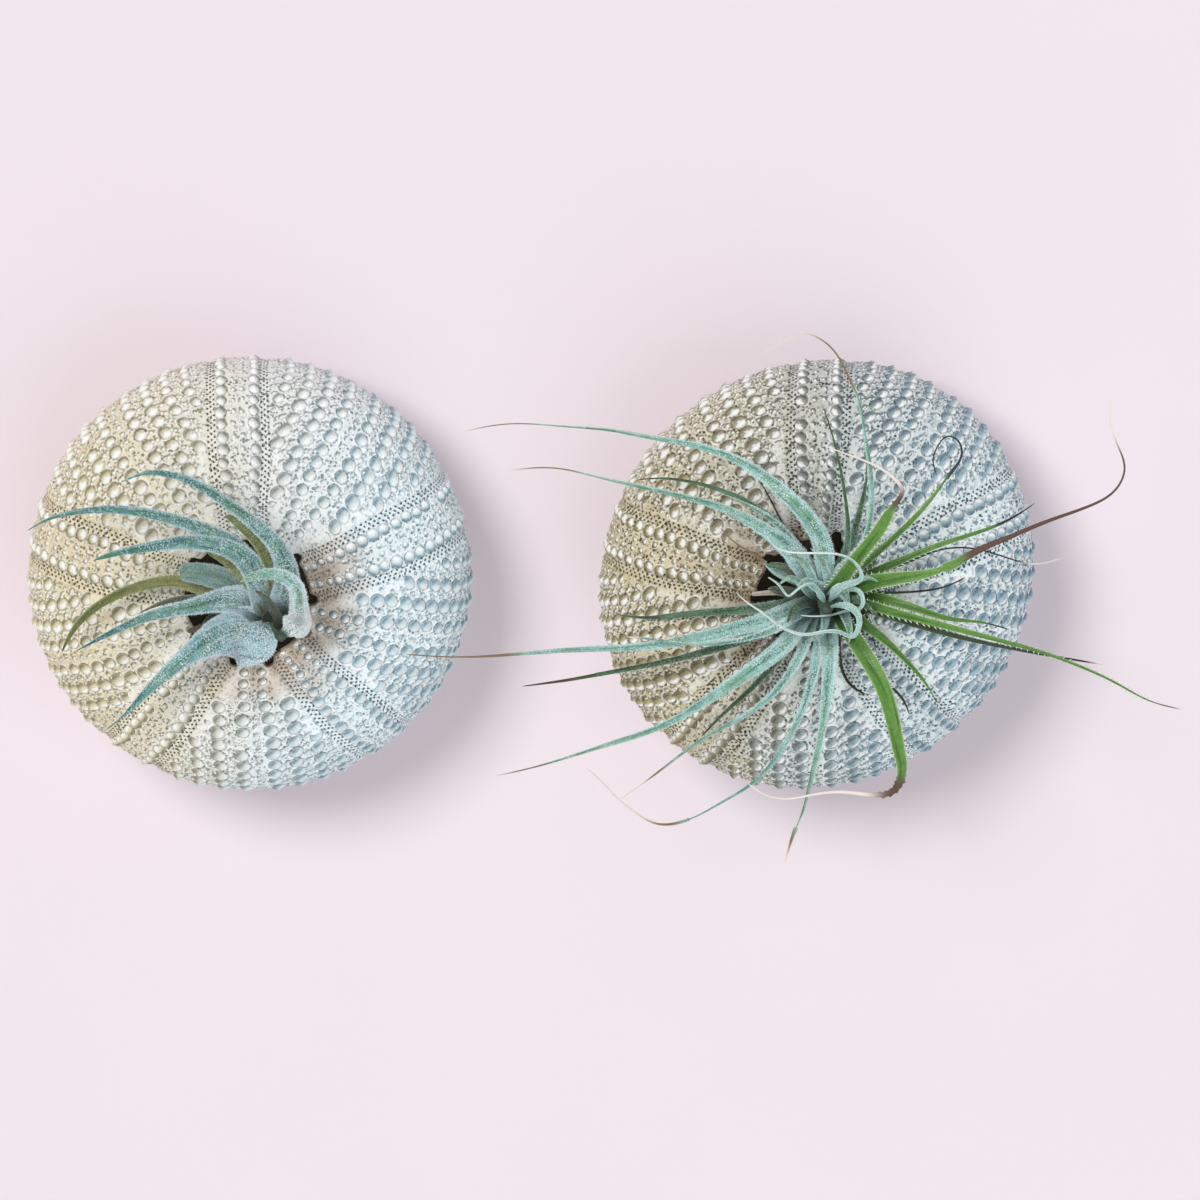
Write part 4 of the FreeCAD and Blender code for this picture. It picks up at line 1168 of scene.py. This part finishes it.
# The youngest leaves: short, still rolled blades that stand round the tip of each stem and fill its crown.
# Each: tier, width as a share of leaf_width, tones, and the marks that its middle passes over.
young_leaves = {
    "left": [
        (2.2, 1.5, "shade", [(268, 620), (250, 618), (232, 616), (216, 620), (206, 624)]),
        (2.6, 1.4, "shade", [(266, 604), (250, 600), (236, 596), (222, 594), (210, 594)]),
        (6.0, 1.6, "olive", [(282, 592), (280, 574), (273, 556), (262, 541), (248, 528), (230, 516)]),
        (5.8, 1.3, "olive", [(268, 598), (256, 583), (242, 569), (228, 560), (212, 553)]),
    ],
    "right": [
        (8.0, 0.60, "silver", [(815, 590), (806, 572), (795, 560), (783, 556)]),
        (7.4, 0.55, "silver", [(812, 594), (797, 583), (784, 578), (776, 584)]),
        (7.0, 0.60, "moss", [(815, 600), (800, 603), (789, 611), (784, 622)]),
        (8.4, 0.55, "silver", [(826, 588), (822, 570), (815, 556), (806, 549)]),
        (7.0, 0.60, "moss", [(836, 590), (840, 574), (838, 560), (832, 552)]),
        (7.8, 0.55, "silver", [(824, 606), (822, 622), (816, 634), (808, 640)]),
        (7.0, 0.60, "silver", [(834, 604), (842, 618), (846, 632), (845, 642)]),
        (7.6, 0.55, "moss", [(842, 598), (856, 600), (866, 606), (872, 614)]),
        (7.2, 0.55, "silver", [(842, 588), (854, 580), (866, 578), (874, 582)]),
        (9.0, 0.75, "silver", [(822, 592), (812, 584), (802, 580), (794, 586)]),
        (9.4, 0.80, "silver", [(832, 596), (838, 590), (842, 598), (846, 608)]),
        (3.2, 0.95, "shade", [(806, 585), (790, 572), (776, 566), (764, 566)]),
        (2.4, 0.95, "shade", [(804, 594), (788, 592), (776, 590), (766, 588)]),
        (2.8, 0.90, "moss", [(812, 578), (802, 562), (792, 552), (784, 546)]),
        (2.8, 0.90, "moss", [(806, 604), (792, 612), (782, 620), (776, 628)]),
        (2.4, 0.85, "shade", [(848, 584), (860, 572), (868, 562), (874, 552)]),
        (2.2, 0.85, "moss", [(842, 610), (852, 624), (858, 636), (860, 646)]),
    ],
}
young_taper = 0.55
young_look = Look("shade", 0.8, pale_from=0.97, slim=1.0, clasp=1.1, twist=0.6)
for plant in plants:
    for number, (tier, width_share, tones_name, marks) in enumerate(young_leaves[plant.shell.name], start=1):
        young = Leaf(tier, width_share, young_taper, marks)
        look = young_look._replace(tones=tones_name)
        name = f"{plant.shell.name}_young_leaf_{number:02d}"
        leaf_piece(plant, 60 + number, young, look, name, f"{plant.shell.name}_stem")


# The stems: short woody cores clothed in the leaves' overlapping sheaths, with a tail of dry tissue that
# hangs inside the shell, and four wiry brown roots under it. They grow as one with the leaves.
sheath_rise = 0.28
sheath_turns = 1.1
tail_brown = "#5B4A3A"
# The sheaths' own green, darkened as painted shade, most towards the crown.
sheath_shaded_green = "#5F6F5E"
crown_shaded_green = "#4C5C4E"
fibre_brown = "#3F3830"
sheath_edge = "#6E8274"
coarse_fibre = 0.06
fine_fibre = 0.05
root_radius = 0.35
root_length = 8.0
root_spread = 1.4
root_count = 4


def stem_piece(plant, finish, rows=150, columns=72):
    """Revolves the stem's outline; each sheath is a slanting step that swells and then drops."""
    low = upper_height(plant.shell, plant.shell.mouth) + leaf_thickness - plant.base_depth
    high = low + plant.tiers * plant.pitch
    z = np.linspace(low - stem_tail, high, rows)
    knots_z = [low - stem_tail, low - stem_radius, low, high]
    outline = np.interp(z, knots_z, [stem_tail_radius, stem_radius, stem_radius, stem_tip_radius])
    angle = np.arange(columns) / columns * 2 * math.pi
    turn = (z[:, None] - low) / plant.pitch * sheath_turns + angle / (2 * math.pi) * 2
    swell = (turn % 1) ** 2
    fibre = coarse_fibre * np.sin(angle * 9 + z[:, None]) + fine_fibre * np.sin(angle * 23 - z[:, None] * 0.7)
    end = np.clip((z[:, None] - z[0]) / 0.5, 0.0, 1) * np.clip((z[-1] - z[:, None]) / 0.6, 0.0, 1)
    radius = outline[:, None] * (0.25 + 0.75 * np.sqrt(end)) - sheath_rise * (1 - swell) * end + fibre * end
    points = np.stack([plant.crown[0] + radius * np.cos(angle), plant.crown[1] + radius * np.sin(angle),
                       z[:, None] + 0 * radius], -1)
    up = (z[:, None] - z[0]) / (z[-1] - z[0])
    marks = {"along": up * np.ones(columns), "swell": swell * np.ones_like(radius)}
    name = f"{plant.shell.name}_stem"
    world_points = placed(plant.shell, points.reshape(-1, 3))
    piece = new_piece(name + "_core", world_points, tube_faces(rows, columns), None, marks)
    settle(piece, finish, f"{plant.shell.name}_plant", name)


def roots_piece(plant, finish, rings=60, around=12):
    """Four tubes: each follows a smooth path that bends out and back, and thins to its end."""
    tail = upper_height(plant.shell, plant.shell.mouth) + leaf_thickness - plant.base_depth - stem_tail
    spin = np.arange(around) / around * 2 * math.pi
    share = np.linspace(0, 1, rings)[:, None]
    drop = np.array([0, 0, root_length])
    points, quads, caps = [], [], []
    for k in range(root_count):
        turn = 2 * math.pi * (k + 0.5) / root_count
        out = np.array([math.cos(turn), math.sin(turn), 0])
        start = np.array([*plant.crown, tail]) + out * stem_tail_radius / 2
        bends = [start, start + out * root_spread - drop / 2, start + out * root_spread / 2 - drop]
        path, _ = smooth_path(bends, rings)
        radius = root_radius * (1 - 0.45 * share) * (1 + 0.12 * np.sin(share * 40 + k + spin))
        circle = np.stack([radius * np.cos(-spin), radius * np.sin(-spin), 0 * radius], -1)
        points.append((path[:, None] + circle).reshape(-1, 3))
        root_quads, *root_caps = [f + k * rings * around for f in tube_faces(rings, around)]
        quads.append(root_quads)
        caps += root_caps
    shares = np.tile((share * np.ones(around)).ravel(), root_count)
    name = f"{plant.shell.name}_roots"
    world_points = placed(plant.shell, np.concatenate(points))
    faces = [np.concatenate(quads), *caps]
    piece = new_piece(name + "_tuft", world_points, faces, None, {"along": shares, "swell": shares})
    settle(piece, finish, f"{plant.shell.name}_plant", name)


def stem_finish():
    """Dry brown fibre at the tail, greenish silver sheaths in the crown darkened by painted shade, darker
    under each sheath's edge.
    """
    f = Finish("sheathed_stem", roughness=0.8, specular_ior_level=0.25)
    along, swell = f.mark("along"), f.mark("swell")
    body = f.mix(along.step(0.35, 0.7), tail_brown, sheath_shaded_green)
    body = f.mix(along.step(0.75, 1.0), body, crown_shaded_green)
    body = f.mix(f.noise(1.2, 4.0).step(0.4, 0.7) * 0.5, body, fibre_brown)
    body = f.mix(swell.step(0.7, 1.0) * 0.3, body, sheath_edge)
    f.feed(Base_Color=body)
    f.bump(f.noise(0.5, 3.0), 0.12)
    return f.material


sheathed = stem_finish()
for plant in plants:
    stem_piece(plant, sheathed)
    roots_piece(plant, sheathed)


# The floor: a plain pale sheet under the pair, and soft light from the upper left.
floor_half = 900.0
paper_grain = 40.0
paper_pale = "#EFE3EA"
paper_dim = "#EDE1E8"
sky_tint = (0.97, 0.98, 1.0, 1.0)
sky_strength = 0.37
corners = np.array([[-1, -1, 0], [1, -1, 0], [1, 1, 0], [-1, 1, 0]])
floor = new_piece("floor", corners * floor_half, [np.array([[0, 1, 2, 3]])])
floor_paint = Finish("floor_paper", roughness=0.95, specular_ior_level=0.1)
floor_paint.feed(Base_Color=floor_paint.mix(floor_paint.noise(paper_grain), paper_pale, paper_dim))
floor.data.materials.append(floor_paint.material)

# Each lamp, a distant one: strength, apparent width in degrees, tint, tilt and heading in degrees.
lamps = {
    "key": (1.72, 21, (1.0, 0.99, 0.97), -35, -54),
    "fill": (1.13, 75, (0.98, 0.99, 1.0), -46, 132),
}
for name, (strength, width_deg, tint, tilt_deg, heading_deg) in lamps.items():
    lamp = bpy.data.lights.new(name, "SUN")
    lamp.energy = strength
    lamp.angle = math.radians(width_deg)
    lamp.color = tint
    lamp.use_shadow = name == "key"
    stand = bpy.data.objects.new(name, lamp)
    stand.rotation_euler = (0, math.radians(tilt_deg), math.radians(heading_deg))
    bpy.context.scene.collection.objects.link(stand)
world = bpy.data.worlds.new("studio")
world.use_nodes = True
sky = world.node_tree.nodes["Background"].inputs
sky["Color"].default_value = sky_tint
sky["Strength"].default_value = sky_strength
bpy.context.scene.world = world
bpy.context.scene.view_settings.view_transform = "Standard"

# The camera: a long lens high over the pair, 16.6 degrees off the vertical towards its back, so that what
# stands higher shows lower in the picture.
frame_width = 216.0
camera_away = 2600.0
sensor_width = 36.0
sight = np.array([-0.3, -8.5, 20.0])
lean = math.radians(view_lean_deg)
camera_data = bpy.data.cameras.new("camera")
camera_data.sensor_width = sensor_width
camera_data.lens = sensor_width * camera_away / frame_width
camera = bpy.data.objects.new("camera", camera_data)
camera.location = (sight + camera_away * np.array([0, math.sin(lean), math.cos(lean)])) * mm
camera.rotation_euler = (-lean, 0, 0)
bpy.context.scene.collection.objects.link(camera)
bpy.context.scene.camera = camera
